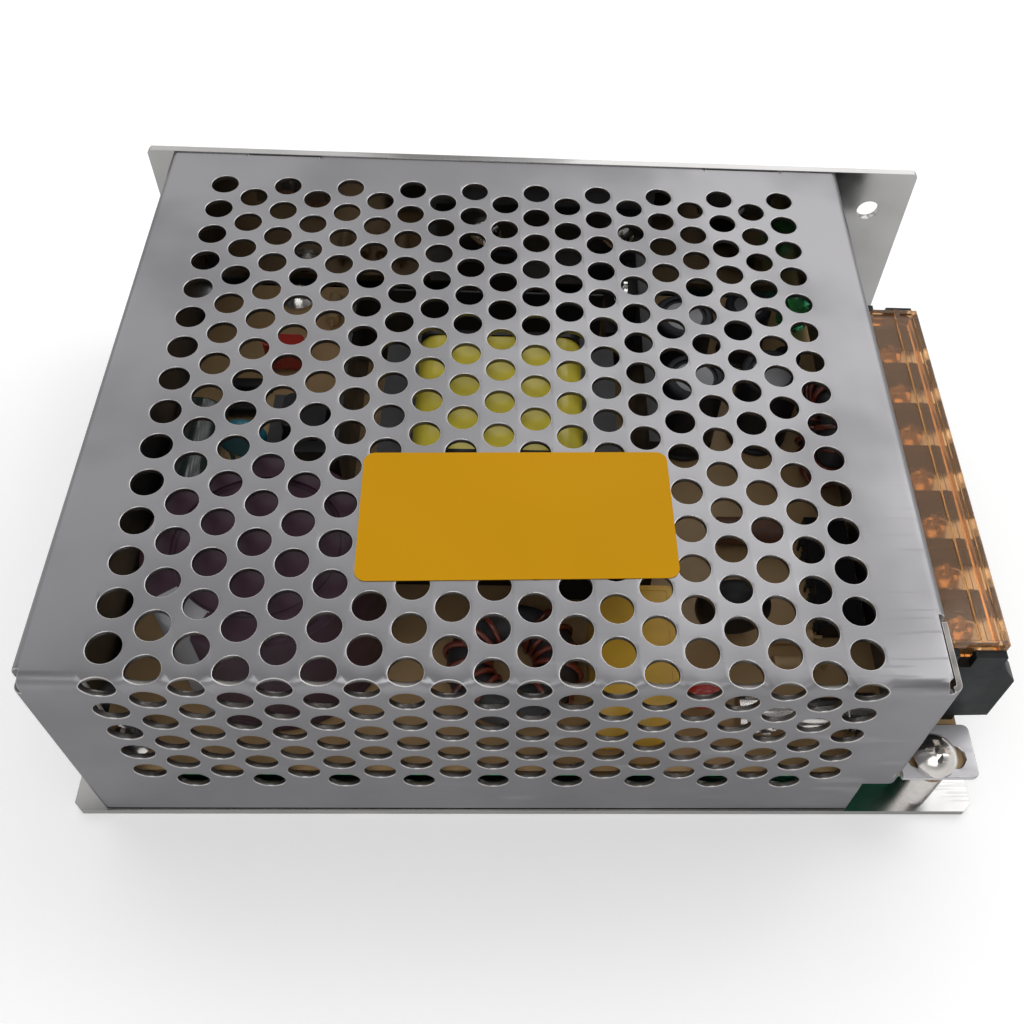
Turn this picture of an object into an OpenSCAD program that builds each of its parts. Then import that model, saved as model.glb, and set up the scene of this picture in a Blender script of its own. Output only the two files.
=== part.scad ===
// Mesh case switching power supply, millimetres.
// X runs along the case, with the terminals at +X. The base rests on Z = 0, and the tall
// back wall of the chassis stands at +Y. The origin is the centre of the case's footprint.

/* [Case] */
// Length of the chassis
case_l = 129; // [125:0.5:160]
// Depth of the chassis
case_w = 98; // [96:0.5:125]
// Height of the chassis wall
case_h = 40; // [40:0.5:60]
// Sheet thickness of the chassis
chassis_t = 1.2; // [0.8:0.1:2]
// Sheet thickness of the perforated cover
cover_t = 0.8; // [0.5:0.05:1.2]
// Chassis left bare beyond the closed end of the cover
bare_end = 4; // [3:0.5:6]
// Chassis left open at the terminal end
terminal_end = 14; // [13.2:0.1:15.2]

/* [Perforation] */
// Distance between holes in one row
hole_pitch = 10; // [8:0.5:14]
// Distance between two rows in line
row_pitch = 6; // [5.5:0.5:9]
// Diameter of a hole
hole_d = 4.2; // [2:0.1:4.6]

/* [Board] */
// Gap between the base and the board
board_rise = 9.5; // [6:0.5:12]
// Thickness of the board
board_t = 1.6; // [1:0.1:2]

/* [Terminals] */
// Number of terminals
ways = 7; // [4:1:7]
// Distance between terminals
way_pitch = 8.5; // [8:0.1:9.5]
// Width of a terminal screw's head
terminal_head_d = 6; // [4:0.1:6.2]

/* [Main parts] */
// Diameter of the bulk capacitor
bulk_d = 29.6; // [22:0.1:30]
// Height of the bulk capacitor
bulk_h = 24.5; // [16:0.5:25.5]
// Diameter of an output capacitor
output_cap_d = 10; // [6:0.5:11]
// Height of an output capacitor
output_cap_h = 16; // [10:0.5:24]
// Width of the main transformer's core
core_l = 35; // [28:0.5:36]

/* [Hidden] */
$fn = 48;

seat = 0.3;      // gap between pieces that are slid or dropped together
lean = 0.01;     // lets two cuts meet without a skin between them

// Chassis planes
x_left = -case_l / 2;
x_right = case_l / 2;
y_front = -case_w / 2;
y_back = case_w / 2;
wall_in = y_back - chassis_t;
bend_in = 0.3;
chassis_bend = chassis_t + 0.8;
corner_cut = 0.8;

// Cover planes: outer faces of the folded sheet
cover_x0 = x_left + bare_end;
cover_x1 = x_right - terminal_end;
cover_y0 = y_front + 0.3;
cover_y1 = wall_in;
cover_top = case_h - 0.2;
cover_bottom = chassis_t + seat;
cover_bend = cover_t + bend_in;
cover_l = cover_x1 - cover_x0;
return_l = 9.6;                  // flange turned round each end of the front wall
relief = 0.8;                    // slot between that flange and the end flange
end_y0 = cover_y0 + return_l + relief;
edge_gap = 0.3;                  // between the top's raw edge and the return flange
return_top = cover_top - 0.5;
corner_relief = 0.6;             // cut across the top's free corner at the terminal end
lip_h = 2.2;                     // lip along the closed end, in front of its flange
lip_y0 = cover_y0 + 1.9;
notch_l = 4.8;                   // cut under the tab, in the front wall
notch_top = chassis_t + board_rise + 0.2;
ear_w = 12;                      // ears folded down behind the wall
ear_h = 9;
ear_x = [cover_x0 + 18.5, cover_x1 - 16.5];
ear_screw_z = cover_top - 5.6;

// Perforation, counted along the strip from the back edge and over the front bend
first_row = 7.8;
side_margin = 8.8;
front_margin = 9.2;
columns = floor((cover_l - 2 * side_margin) / hole_pitch) + 1;
column_shift = 0.5;              // the pattern lies this far towards the closed end
column_x0 = (cover_x0 + cover_x1 - (columns - 1) * hole_pitch) / 2 - column_shift;
bend_loss = 0.25;                // stretch of the sheet at the front bend
strip_fold = cover_y1 - first_row - cover_y0 + bend_loss;
strip_end = strip_fold + cover_top - front_margin - hole_d / 2;
half_rows = floor(strip_end / (row_pitch / 2));

// Board
board_bottom = chassis_t + board_rise;
board_top = board_bottom + board_t;
board_x0 = cover_x0 + cover_t + 1;
board_x1 = x_right - 4.1;
board_y0 = cover_y0 + cover_t + 0.4;
board_y1 = wall_in - 1.8;
board_ear = 0.3;
screw_r = 1.5;
tap_r = 1.25;
pan_r = 3.15;
pan_h = 2.2;
post_r = 2.75;
rivet_r = 2.05;

// Tab of the cover, over the board's front right corner
tab_top = board_top + cover_t;
tab_x1 = x_right - 2.8;
tab_y0 = cover_y0;
tab_y1 = cover_y0 + 8;
tab_corner = 1;
tab_screw_x = x_right - 8.7;
tab_screw_y = cover_y0 + 3.1;
slot_w = 3.4;
slot_x0 = tab_screw_x - 2.3;
slot_x1 = tab_screw_x + 4.5;

post_xy = [
    [tab_screw_x, tab_screw_y],
    [board_x1 - 4.5, board_y1 - 4.4],
    [board_x0 + 4.6, board_y0 + 4.6],
    [board_x0 + 15.6, board_y1 - 3.3]
];

// Fixing holes for the user
base_hole_r = 1.8;
base_hole_dx = case_l - 19;
base_hole_dy = case_w - 36;
wall_hole_r = 1.9;
wall_hole_dx = case_l - 13.4;
wall_hole_dz = case_h - 15.6;

// Terminal block
end_wall = 2.5;
divider_t = 1.6;
block_l = ways * way_pitch + 2 * end_wall;
block_yc = -7.35;
block_x0 = cover_x1 + 0.5;
block_x1 = x_right;
block_z0 = board_top + 1;
floor_z = board_top + 10.9;
divider_top = board_top + 16;
lip_z = board_top + 12.1;
plate_t = 1;
washer_t = 0.8;
terminal_x = x_right - 6.6;
hinge_x = block_x0 + 1.8;
hinge_z = divider_top + 1.5;
pin_r = 0.95;
pin_gap = 0.08;
barrel_r = 1.2;
flap_t = 1;
flap_top = hinge_z + barrel_r + 0.4;
flap_x1 = block_x1 - 2.8;
flap_gap = 0.25;
flap_y0 = block_yc - block_l / 2 + 1.4;
flap_y1 = block_yc + block_l / 2 - 1.4;
ear_t = 1.4 - flap_gap;

// Places of the inner parts, from the board's edges and the cover's terminal end
left = board_x0;
right = cover_x1;
front = board_y0;
back = board_y1;
bulk_c = [left + 22.9, front + 20];
filter_c = [left + 55.6, front + 14.2];
xcap_c = [left + 71.8, front + 12];
bridge_c = [left + 68.2, front + 27.3];
coil_l = core_l - 10.2;
trafo_c = [left + 53, -0.5];
driver_c = [left + 22.8, back - 40];
supply_c = [left + 4.9, back - 44];
film_c = [left + 16.1, back - 20.5];
fuse_c = [right - 12.6, front + 6.4];
ntc_c = [right - 22, front + 22];
varistor_c = [right - 26.8, front + 9.6];
ycap_c = [[left + 13.1, front + 51], [left + 74.7, front + 35.5]];
sink_x = left + 74.8;
sink_t = 1.6;
sink_y0 = back - 52;
sink_y1 = back - 8;
inductor_c = [right - 4.4, front + 53.5];
output_cap_c = [
    [right - 25.8, back - 34.8], [right - 13.2, back - 33.4],
    [right - 26.4, back - 21.2], [right - 14.1, back - 14.2]
];
chip_c = [right - 5.2, front + 30.5];
led_c = [right - 4.1, back - 8.5];
trimmer_c = [board_x1 - 5.4, back - 15];
pad_x0 = trafo_c[0] - 13.8;
pad_x1 = trafo_c[0] + 25.7;
transistor_x = [trafo_c[0] - 3.3, trafo_c[0] + 19.7];
wall_part_z = board_top + 2;
transistor_h = 16.2;
clamp_z = wall_part_z + 13.2;

// ---- Plain shapes ---------------------------------------------------------------------------

module box(x0, x1, y0, y1, z0, z1)
    translate([x0, y0, z0]) cube([x1 - x0, y1 - y0, z1 - z0]);

// A flat outline with rounded corners, centred
module rounded(w, d, r) {
    square([w - 2 * r, d], center = true);
    square([w, d - 2 * r], center = true);
    for (x = [-1, 1], y = [-1, 1])
        translate([x * (w / 2 - r), y * (d / 2 - r)]) circle(r);
}

// Half of a ring's quarter: a sheet bent through 90 degrees, filling x < 0, y > 0
module bend_outline(r, t)
    intersection() {
        difference() {
            circle(r);
            circle(r - t);
        }
        translate([-r, 0]) square(r);
    }

// Lays a flat outline in the X-Z plane and carries it along Y
module along_y(y0, y1)
    translate([0, y1, 0]) rotate([90, 0, 0]) linear_extrude(y1 - y0) children();

// Lays a flat outline in the Y-Z plane and carries it along X
module along_x(x0, x1)
    translate([x0, 0, 0]) rotate([90, 0, 90]) linear_extrude(x1 - x0) children();

module lead(x, y, z0, z1, r = 0.35)
    translate([x, y, z0]) cylinder(r = r, h = z1 - z0);

// ---- Chassis --------------------------------------------------------------------------------

module chassis_profile()
    difference() {
        union() {
            translate([y_front, 0]) square([case_w, chassis_t]);
            translate([wall_in, 0]) square([chassis_t, case_h]);
            translate([wall_in - 0.8, chassis_t]) square(0.8);
        }
        translate([wall_in - 0.8, chassis_t + 0.8]) circle(0.8);
        difference() {
            translate([y_back - chassis_bend, 0]) square(chassis_bend);
            translate([y_back - chassis_bend, chassis_bend]) circle(chassis_bend);
        }
    }

module corner_cuts() {
    for (x = [x_left, x_right]) {
        translate([x, y_front, chassis_t / 2])
            rotate([0, 0, 45]) cube([2 * corner_cut, 2 * corner_cut, 2 * chassis_t], center = true);
        translate([x, y_back - chassis_t / 2, case_h])
            rotate([0, 45, 0]) cube([corner_cut, 2 * chassis_t, corner_cut], center = true);
    }
}

module wall_hole(x, z, r)
    translate([x, y_back + lean, z]) rotate([90, 0, 0]) cylinder(r = r, h = chassis_t + 2 * lean);

module chassis()
    color("silver") difference() {
        along_x(x_left, x_right) chassis_profile();
        corner_cuts();
        for (x = [-1, 1], y = [-1, 1])
            translate([x * base_hole_dx / 2, y * base_hole_dy / 2, -lean])
                cylinder(r = base_hole_r, h = chassis_t + 2 * lean);
        for (x = [-1, 1], z = [-1, 1])
            wall_hole(x * wall_hole_dx / 2, case_h / 2 + z * wall_hole_dz / 2, wall_hole_r);
        for (p = post_xy)
            translate([p[0], p[1], -lean]) cylinder(r = rivet_r, h = chassis_t + 2 * lean);
        for (x = ear_x) {
            wall_hole(x, ear_screw_z, screw_r + 0.1);
            translate([x, y_back + lean, ear_screw_z]) rotate([90, 0, 0])
                cylinder(r1 = 3, r2 = screw_r + 0.1, h = 1 + lean);
        }
        for (x = transistor_x) wall_hole(x, clamp_z, tap_r);
    }

// ---- Cover ----------------------------------------------------------------------------------

// Calls its child at each hole of one stretch of the strip: u across, s along from the first row
module perforate(s0, s1)
    for (k = [0 : half_rows]) {
        s = k * row_pitch / 2;
        odd = k % 2;
        if (s >= s0 && s < s1)
            for (i = [0 : columns - 1 - odd])
                translate([column_x0 + (i + odd / 2) * hole_pitch, -s]) children();
    }

flat_end = strip_fold - bend_loss - cover_bend - hole_d / 2;
front_start = strip_fold + cover_bend + hole_d / 2;

front_x0 = cover_x0 + cover_t + edge_gap;
front_x1 = cover_x1 - cover_t - edge_gap;

module top_outline()
    difference() {
        union() {
            translate([front_x0, cover_y0 + cover_bend])
                square([front_x1 - front_x0, cover_y1 - cover_y0 - cover_bend]);
            translate([cover_x0 + cover_bend, end_y0])
                square([cover_l - 2 * cover_bend, cover_y1 - end_y0]);
        }
        translate([front_x1, cover_y0 + cover_bend]) rotate(45)
            square(corner_relief * sqrt(2), center = true);
        for (x = ear_x)
            translate([x - ear_w / 2, cover_y1 - cover_t]) square([ear_w, cover_t + lean]);
        translate([0, cover_y1 - first_row]) perforate(0, flat_end) circle(d = hole_d);
    }

module front_outline()
    difference() {
        translate([cover_x0 + cover_bend, cover_bottom])
            square([cover_l - 2 * cover_bend, cover_top - cover_bend - cover_bottom]);
        translate([0, cover_top + strip_fold]) perforate(front_start, strip_end) circle(d = hole_d);
        translate([cover_x1 - notch_l, 0]) square([notch_l, notch_top]);
    }

// Holes that run over the front bend are cut through it from above or from the front
module bend_holes() {
    translate([0, cover_y1 - first_row, cover_top - 1.6])
        perforate(flat_end, strip_fold) cylinder(d = hole_d, h = 2);
    translate([0, cover_y0 + 1.5, cover_top + strip_fold]) rotate([90, 0, 0])
        perforate(strip_fold, front_start) cylinder(d = hole_d, h = 2);
}

// The bend between the top sheet and an end. side is -1 at the left and 1 at the right
module end_bend(side, x, y0)
    translate([x - side * cover_bend, 0, cover_top - cover_bend]) along_y(y0, cover_y1)
        mirror([side > 0 ? 1 : 0, 0]) bend_outline(cover_bend, cover_t);

// One end flange, folded down from the top sheet and clear of the chassis' inner fillet
module end_flange(side, x, z0)
    box(x + (side < 0 ? 0 : -cover_t), x + (side < 0 ? cover_t : 0), end_y0, cover_y1 - seat,
        z0, cover_top - cover_bend);

// One return flange, folded back from the front wall round a bend that starts at bend_z0
module return_flange(side, x, z0, bend_z0, z1) {
    translate([x + (side < 0 ? 0 : -cover_t), cover_y0 + cover_bend, z0])
        cube([cover_t, return_l - cover_bend, z1 - z0]);
    translate([x - side * cover_bend, cover_y0 + cover_bend, bend_z0]) linear_extrude(z1 - bend_z0)
        rotate(side < 0 ? 90 : 180) bend_outline(cover_bend, cover_t);
}

module tab_outline() {
    x0 = cover_x1 + bend_in;
    difference() {
        union() {
            translate([x0, tab_y0]) square([tab_x1 - tab_corner - x0, tab_y1 - tab_y0]);
            translate([x0, tab_y0 + tab_corner])
                square([tab_x1 - x0, tab_y1 - tab_y0 - 2 * tab_corner]);
            for (y = [tab_y0 + tab_corner, tab_y1 - tab_corner])
                translate([tab_x1 - tab_corner, y]) circle(tab_corner);
        }
        translate([slot_x0, tab_screw_y - slot_w / 2])
            square([slot_x1 - slot_w / 2 - slot_x0, slot_w]);
        for (x = [slot_x0, slot_x1 - slot_w / 2])
            translate([x, tab_screw_y]) circle(d = slot_w);
    }
}

module cover_tab() {
    along_y(cover_y0 + cover_bend, tab_y1)
        translate([cover_x1 + bend_in, tab_top + bend_in])
            rotate(90) bend_outline(cover_bend, cover_t);
    translate([0, 0, board_top]) linear_extrude(cover_t) tab_outline();
}

module cover_ear(x)
    difference() {
        along_x(x - ear_w / 2, x + ear_w / 2) {
            translate([cover_y1 - cover_t, cover_top - ear_h]) {
                square([cover_t, ear_h - bend_in]);
                square([cover_t - bend_in, ear_h]);
            }
            translate([cover_y1 - bend_in, cover_top - bend_in]) circle(bend_in);
        }
        translate([x, cover_y1 + lean, ear_screw_z]) rotate([90, 0, 0])
            cylinder(r = tap_r, h = cover_t + 2 * lean);
    }

module mesh_cover()
    color("lightgrey") {
        difference() {
            union() {
                translate([0, 0, cover_top - cover_t]) linear_extrude(cover_t) top_outline();
                along_y(cover_y0, cover_y0 + cover_t) front_outline();
                along_x(front_x0, front_x1 - corner_relief)
                    translate([cover_y0 + cover_bend, cover_top - cover_bend])
                        bend_outline(cover_bend, cover_t);
            }
            bend_holes();
        }
        end_bend(-1, cover_x0, lip_y0);
        end_bend(1, cover_x1, end_y0);
        end_flange(-1, cover_x0, cover_bottom);
        end_flange(1, cover_x1, board_top + 1.2);
        // Lip in front of the left end flange
        box(cover_x0, cover_x0 + cover_t, lip_y0, end_y0, cover_top - lip_h, cover_top - cover_bend);
        return_flange(-1, cover_x0, cover_bottom, cover_bottom, cover_top - lip_h - edge_gap);
        return_flange(1, cover_x1, tab_top + bend_in, notch_top, return_top);
        cover_tab();
        for (x = ear_x) cover_ear(x);
    }

label_l = 40.4;
label_w = 20;
label_t = 0.12;

module cover_label()
    color("orange") translate([-2.8, cover_y0 + 24.6, cover_top]) rotate([0, 0, 1.5])
        linear_extrude(label_t) rounded(label_l, label_w, 1.5);

// ---- Fixings --------------------------------------------------------------------------------

// A cross recess, cut down from z = 0
module cross_recess(r, depth)
    for (a = [0, 90]) rotate([0, 0, a])
        translate([0, 0, -depth / 2 + lean]) cube([2 * r, 0.9, depth + lean], center = true);

// A pan-head screw standing on z = 0, with its shank below
module pan_screw(head_r, head_h, shank_r, shank_l)
    difference() {
        union() {
            rotate_extrude() intersection() {
                translate([0, head_h - head_r * 1.25]) circle(head_r * 1.25);
                square([head_r, head_h]);
            }
            translate([0, 0, -shank_l]) cylinder(r = shank_r, h = shank_l + lean);
        }
        translate([0, 0, head_h]) cross_recess(head_r * 0.55, head_h * 0.6);
    }

module tab_screw()
    color("gainsboro") translate([tab_screw_x, tab_screw_y, tab_top])
        pan_screw(pan_r, pan_h, tap_r - 0.02, 6);

module board_screws()
    color("gainsboro") for (i = [1 : 3])
        translate([post_xy[i][0], post_xy[i][1], board_top]) pan_screw(pan_r, pan_h, tap_r - 0.02, 5.5);

module rear_cover_screws()
    color("gainsboro") for (x = ear_x)
        translate([x, y_back, ear_screw_z]) rotate([-90, 0, 0]) difference() {
            union() {
                translate([0, 0, -1]) cylinder(r1 = screw_r - 0.1, r2 = 2.8, h = 1);
                translate([0, 0, -4.5]) cylinder(r = tap_r - 0.02, h = 4);
            }
            cross_recess(1.6, 0.6);
        }

module board_standoffs()
    color("khaki") for (p = post_xy)
        translate([p[0], p[1], 0]) difference() {
            union() {
                cylinder(r = rivet_r - 0.02, h = chassis_t);
                translate([0, 0, chassis_t]) cylinder(r = post_r, h = board_rise);
            }
            translate([0, 0, -lean]) cylinder(r = tap_r, h = board_bottom + 2 * lean);
        }

// A folded insulating sheet, standing on the board behind the main transformer and beside it
barrier_t = 0.4;
barrier_h = 17;
barrier_x0 = trafo_c[0] - 23.8;
barrier_x1 = trafo_c[0] + 16.5;
barrier_y0 = trafo_c[1] - 5.2;
barrier_y1 = trafo_c[1] + 28.5;

module insulation_sheet()
    color("#1b1b1d") {
        box(barrier_x0, barrier_x1, barrier_y1 - barrier_t, barrier_y1, board_top, board_top + barrier_h);
        box(barrier_x0, barrier_x0 + barrier_t, barrier_y0, barrier_y1, board_top, board_top + barrier_h);
    }

// ---- Board ----------------------------------------------------------------------------------

module circuit_board()
    color("tan") translate([0, 0, board_bottom]) linear_extrude(board_t) difference() {
        union() {
            translate([board_x0, board_y0]) square([board_x1 - board_x0, board_y1 - board_y0]);
            translate([cover_x1 + 0.8, board_y0 - board_ear])
                square([board_x1 - cover_x1 - 0.8, board_ear + 1]);
        }
        for (p = post_xy) translate([p[0], p[1]]) circle(screw_r + 0.1);
    }

// ---- Terminal block -------------------------------------------------------------------------

function way_y(i) = block_yc + (i - (ways - 1) / 2) * way_pitch;

module divider_outline()
    polygon([
        [block_x0, block_z0], [block_x1, block_z0 + 0.6], [block_x1, lip_z],
        [block_x1 - 2.2, divider_top - 0.8], [block_x1 - 3.8, divider_top],
        [block_x0, divider_top]
    ]);

module end_wall_at(y0, y1, outer0, outer1) {
    along_y(y0, y1) divider_outline();
    // Latch lug and hinge ear, on the outer part of the wall
    box(block_x1 - 7.4, block_x1 - 3.2, outer0, outer1, divider_top - lean, flap_top - 0.5);
    difference() {
        box(block_x0, hinge_x + 2, outer0, outer1, divider_top - lean, hinge_z + 1.5);
        translate([hinge_x, outer0 - lean, hinge_z]) rotate([-90, 0, 0])
            cylinder(r = pin_r + pin_gap, h = outer1 - outer0 + 2 * lean);
    }
}

module terminal_block()
    color("#26292b") difference() {
        union() {
            along_y(block_yc - block_l / 2, block_yc + block_l / 2) polygon([
                [block_x0, block_z0], [block_x1, block_z0 + 0.6], [block_x1, floor_z - 2.4],
                [block_x1 - 0.8, floor_z], [block_x0 + 1.6, floor_z],
                [block_x0 + 1.6, divider_top], [block_x0, divider_top]
            ]);
            for (i = [0 : ways - 2])
                along_y(way_y(i) + (way_pitch - divider_t) / 2, way_y(i) + (way_pitch + divider_t) / 2)
                    divider_outline();
            end_wall_at(block_yc - block_l / 2, block_yc - block_l / 2 + end_wall + divider_t / 4,
                        block_yc - block_l / 2, block_yc - block_l / 2 + ear_t);
            end_wall_at(block_yc + block_l / 2 - end_wall - divider_t / 4, block_yc + block_l / 2,
                        block_yc + block_l / 2 - ear_t, block_yc + block_l / 2);
            // Feet on the board
            for (y = [block_yc - block_l / 2, block_yc - 1.5, block_yc + block_l / 2 - 3])
                box(block_x0, board_x1 - 0.5, y, y + 3, board_top, block_z0 + 0.3);
        }
        for (i = [0 : ways - 1])
            translate([terminal_x, way_y(i), block_z0 + 1.2]) cylinder(r = 1.85, h = floor_z);
    }

module terminal_plates()
    color("gainsboro") for (i = [0 : ways - 1])
        translate([0, way_y(i), 0]) difference() {
            box(block_x0 + 2, block_x1 - 1.4, -way_pitch / 2 + 1.2, way_pitch / 2 - 1.2,
                floor_z, floor_z + plate_t);
            translate([terminal_x, 0, floor_z - lean]) cylinder(r = 1.85, h = plate_t + 2 * lean);
        }

module terminal_screws()
    color("gainsboro") for (i = [0 : ways - 1])
        translate([terminal_x, way_y(i), floor_z + plate_t]) {
            translate([0, 0, washer_t])
                pan_screw(terminal_head_d / 2, 2.4, 1.7, washer_t + plate_t + 5);
            difference() {
                translate([-2.9, -2.9, 0]) cube([5.8, 5.8, washer_t]);
                translate([0, 0, -lean]) cylinder(r = 1.69, h = washer_t + 2 * lean);
            }
        }

module terminal_cover()
    color("#b0662a", 0.6) {
        box(hinge_x, flap_x1, flap_y0, flap_y1, flap_top - flap_t, flap_top);
        // Rim and rib that stiffen the plate
        for (y = [flap_y0, flap_y1 - 0.8])
            box(hinge_x + 1.5, flap_x1, y, y + 0.8, flap_top - lean, flap_top + 0.35);
        box(flap_x1 - 0.8, flap_x1, flap_y0, flap_y1, flap_top - lean, flap_top + 0.35);
        box(flap_x1 - 3.8, flap_x1 - 3, flap_y0, flap_y1, flap_top - lean, flap_top + 0.5);
        // Skirts inside the lugs and along the open side
        for (y = [flap_y0, flap_y1 - 0.9])
            box(hinge_x + 1.9, flap_x1, y, y + 0.9, divider_top + flap_gap, flap_top);
        box(flap_x1 - 0.9, flap_x1, flap_y0, flap_y1, divider_top + flap_gap, flap_top);
        translate([hinge_x, flap_y0, hinge_z]) rotate([-90, 0, 0])
            cylinder(r = barrel_r, h = flap_y1 - flap_y0);
        box(hinge_x - 0.5, hinge_x + 0.5, flap_y0, flap_y1, hinge_z + barrel_r - 0.3, flap_top);
        translate([hinge_x, flap_y0 - ear_t, hinge_z]) rotate([-90, 0, 0])
            cylinder(r = pin_r, h = flap_y1 - flap_y0 + 2 * ear_t);
    }

// ---- Input side -----------------------------------------------------------------------------

fuse_r = 2.6;
fuse_l = 20;
fuse_z = board_top + 4.6;

module fuse()
    color("white", 0.7) translate([fuse_c[0] - fuse_l / 2, fuse_c[1], fuse_z]) rotate([0, 90, 0]) {
        translate([0, 0, 0.8]) cylinder(r = fuse_r - 0.25, h = fuse_l - 1.6);
        for (z = [0, fuse_l - 5]) translate([0, 0, z]) cylinder(r = fuse_r, h = 5);
    }

module fuse_clips()
    color("gainsboro") for (side = [-1, 1])
        translate([fuse_c[0] + side * (fuse_l / 2 - 2.6), fuse_c[1], 0]) {
            along_x(-1.6, 1.6) difference() {
                union() {
                    translate([0, fuse_z]) circle(fuse_r + 0.5);
                    translate([-1.6, board_top]) square([3.2, fuse_z - board_top - fuse_r + 0.2]);
                }
                translate([0, fuse_z]) circle(fuse_r + 0.05);
                translate([-1.9, fuse_z]) square([3.8, 4]);
            }
        }

// A disc part on two leads, its face towards Y
module disc_part(c, d, t, stand) {
    translate([c[0], c[1] - t / 2, board_top + stand + d / 2]) rotate([-90, 0, 0])
        rotate_extrude() intersection() {
            translate([0, t / 2]) rounded(d, t, t / 2 - 0.1);
            square([d, t]);
        }
    for (x = [-2.5, 2.5]) lead(c[0] + x, c[1], board_top, board_top + stand + d / 2);
}

module thermistor() color("#1c1c1e") disc_part(ntc_c, 11, 4.6, 1.5);
module varistor() color("firebrick") disc_part(varistor_c, 7.5, 3.2, 1.5);
module y_capacitor(i) color("steelblue") disc_part(ycap_c[i], 7.5, 3, 4);

xcap_l = 11;
xcap_w = 18;
xcap_h = 14;

module x_capacitor()
    color("#d69a1e") translate([xcap_c[0], xcap_c[1], board_top + seat])
        difference() {
            linear_extrude(xcap_h) rounded(xcap_l, xcap_w, 0.7);
            translate([0, 0, xcap_h]) cube([xcap_l - 1.6, xcap_w - 1.6, 0.2], center = true);
        }

// A ring core with its axis along Z, and its turns: loops round the core's section
turn_gap = 0.03;
function winding_r(section_r, wire_r) = section_r + 2 * (wire_r + turn_gap);

module ring_core(ring_r, section_r)
    rotate_extrude() translate([ring_r, 0]) circle(section_r);

module ring_turns(ring_r, section_r, wire_r, first, step, count)
    for (i = [0 : count - 1])
        rotate([0, 0, first + i * step]) translate([ring_r, 0, 0]) rotate([90, 0, 0])
            rotate_extrude() translate([section_r + wire_r + turn_gap, 0]) circle(wire_r);

filter_ring = 6.4;
filter_section = 2.9;
filter_wire = 0.42;

// The line filter's choke lies flat
module place_filter()
    translate([filter_c[0], filter_c[1], board_top + winding_r(filter_section, filter_wire)])
        children();

module line_filter_core()
    color("#202022") place_filter() ring_core(filter_ring, filter_section);

module line_filter_windings()
    color("#8c3a24") place_filter() for (side = [0, 180])
        ring_turns(filter_ring, filter_section, filter_wire, side - 55, 22, 6);

module bridge_rectifier()
    color("#202022") {
        difference() {
            box(bridge_c[0] - 7.2, bridge_c[0] + 7.2, bridge_c[1] - 1.9, bridge_c[1] + 1.9,
                board_top + 3, board_top + 14);
            translate([bridge_c[0] + 7.2, bridge_c[1], board_top + 14]) rotate([0, 45, 0])
                cube([2.6, 5, 2.6], center = true);
        }
        for (i = [-1.5 : 1.5]) lead(bridge_c[0] + i * 3.8, bridge_c[1], board_top, board_top + 3.2, 0.5);
    }

// ---- Capacitors -----------------------------------------------------------------------------

// An upright can: rounded foot and crimp, rolled top edge and a sunk top disc
module can(d, h) {
    r = d / 2;
    edge = min(0.9, r / 6);
    difference() {
        rotate_extrude() {
            translate([0, 0]) square([r - edge, h]);
            translate([0, edge]) square([r, h - 2 * edge]);
            for (z = [edge, h - edge]) translate([r - edge, z]) circle(edge);
        }
        translate([0, 0, h - 0.4]) cylinder(r = r * 0.74, h = 1);
        rotate_extrude() translate([r + 0.5, h * 0.12]) circle(0.9);
    }
}

module bulk_capacitor()
    color("#3b262b") translate([bulk_c[0], bulk_c[1], board_top]) can(bulk_d, bulk_h);

module output_capacitor(i)
    color("#1d1f24") translate([output_cap_c[i][0], output_cap_c[i][1], board_top])
        can(i == 3 ? output_cap_d * 0.8 : output_cap_d, i == 3 ? output_cap_h * 0.75 : output_cap_h);

supply_d = 8;
supply_l = 20;

// This can lies on the board along Y, on leads bent down in front of it
module supply_capacitor()
    color("#2c3532") translate([supply_c[0], supply_c[1] - supply_l / 2, board_top + supply_d / 2]) {
        rotate([-90, 0, 0]) can(supply_d, supply_l);
        translate([0, -1.4, 0]) for (x = [-1.75, 1.75]) {
            translate([x, 0, -supply_d / 2]) cylinder(r = 0.35, h = supply_d / 2 + 0.3);
            translate([x, -0.34, 0]) rotate([-90, 0, 0]) cylinder(r = 0.35, h = 2);
        }
    }

module film_capacitor()
    color("firebrick") {
        translate([film_c[0], film_c[1], board_top + 1.4]) linear_extrude(5.6) rounded(7, 2.8, 1.2);
        for (x = [-2.5, 2.5]) lead(film_c[0] + x, film_c[1], board_top, board_top + 1.6);
    }

// ---- Transformers ---------------------------------------------------------------------------

core_leg = 5.2;
core_h = 11;
core_z = board_top + 6.8;
coil_w = core_l - 2 * core_leg - 1.2;
coil_h = 22.6;
coil_z = board_top + 2.2;
flange_t = 0.8;

bobbin_gap = 0.15;       // between the core and the bobbin
bobbin_t = 0.8;
rail_h = 3.8;
rail_w = 6;

// The pair of cores lies flat, with its middle leg along Y through the bobbin
module main_transformer_core()
    color("#2b2b2d") translate([trafo_c[0], trafo_c[1], core_z]) linear_extrude(core_h)
        difference() {
            square(core_l, center = true);
            for (s = [-1, 1]) translate([s * core_l / 4, 0])
                square([core_l / 2 - 2 * core_leg, core_l - 2 * core_leg], center = true);
        }

// A block along Y round the core's middle leg, larger than it by grow all round
module coil_tunnel(grow, l)
    translate([trafo_c[0], trafo_c[1], core_z + core_h / 2])
        cube([2 * (core_leg + grow), l, core_h + 2 * grow], center = true);

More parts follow.
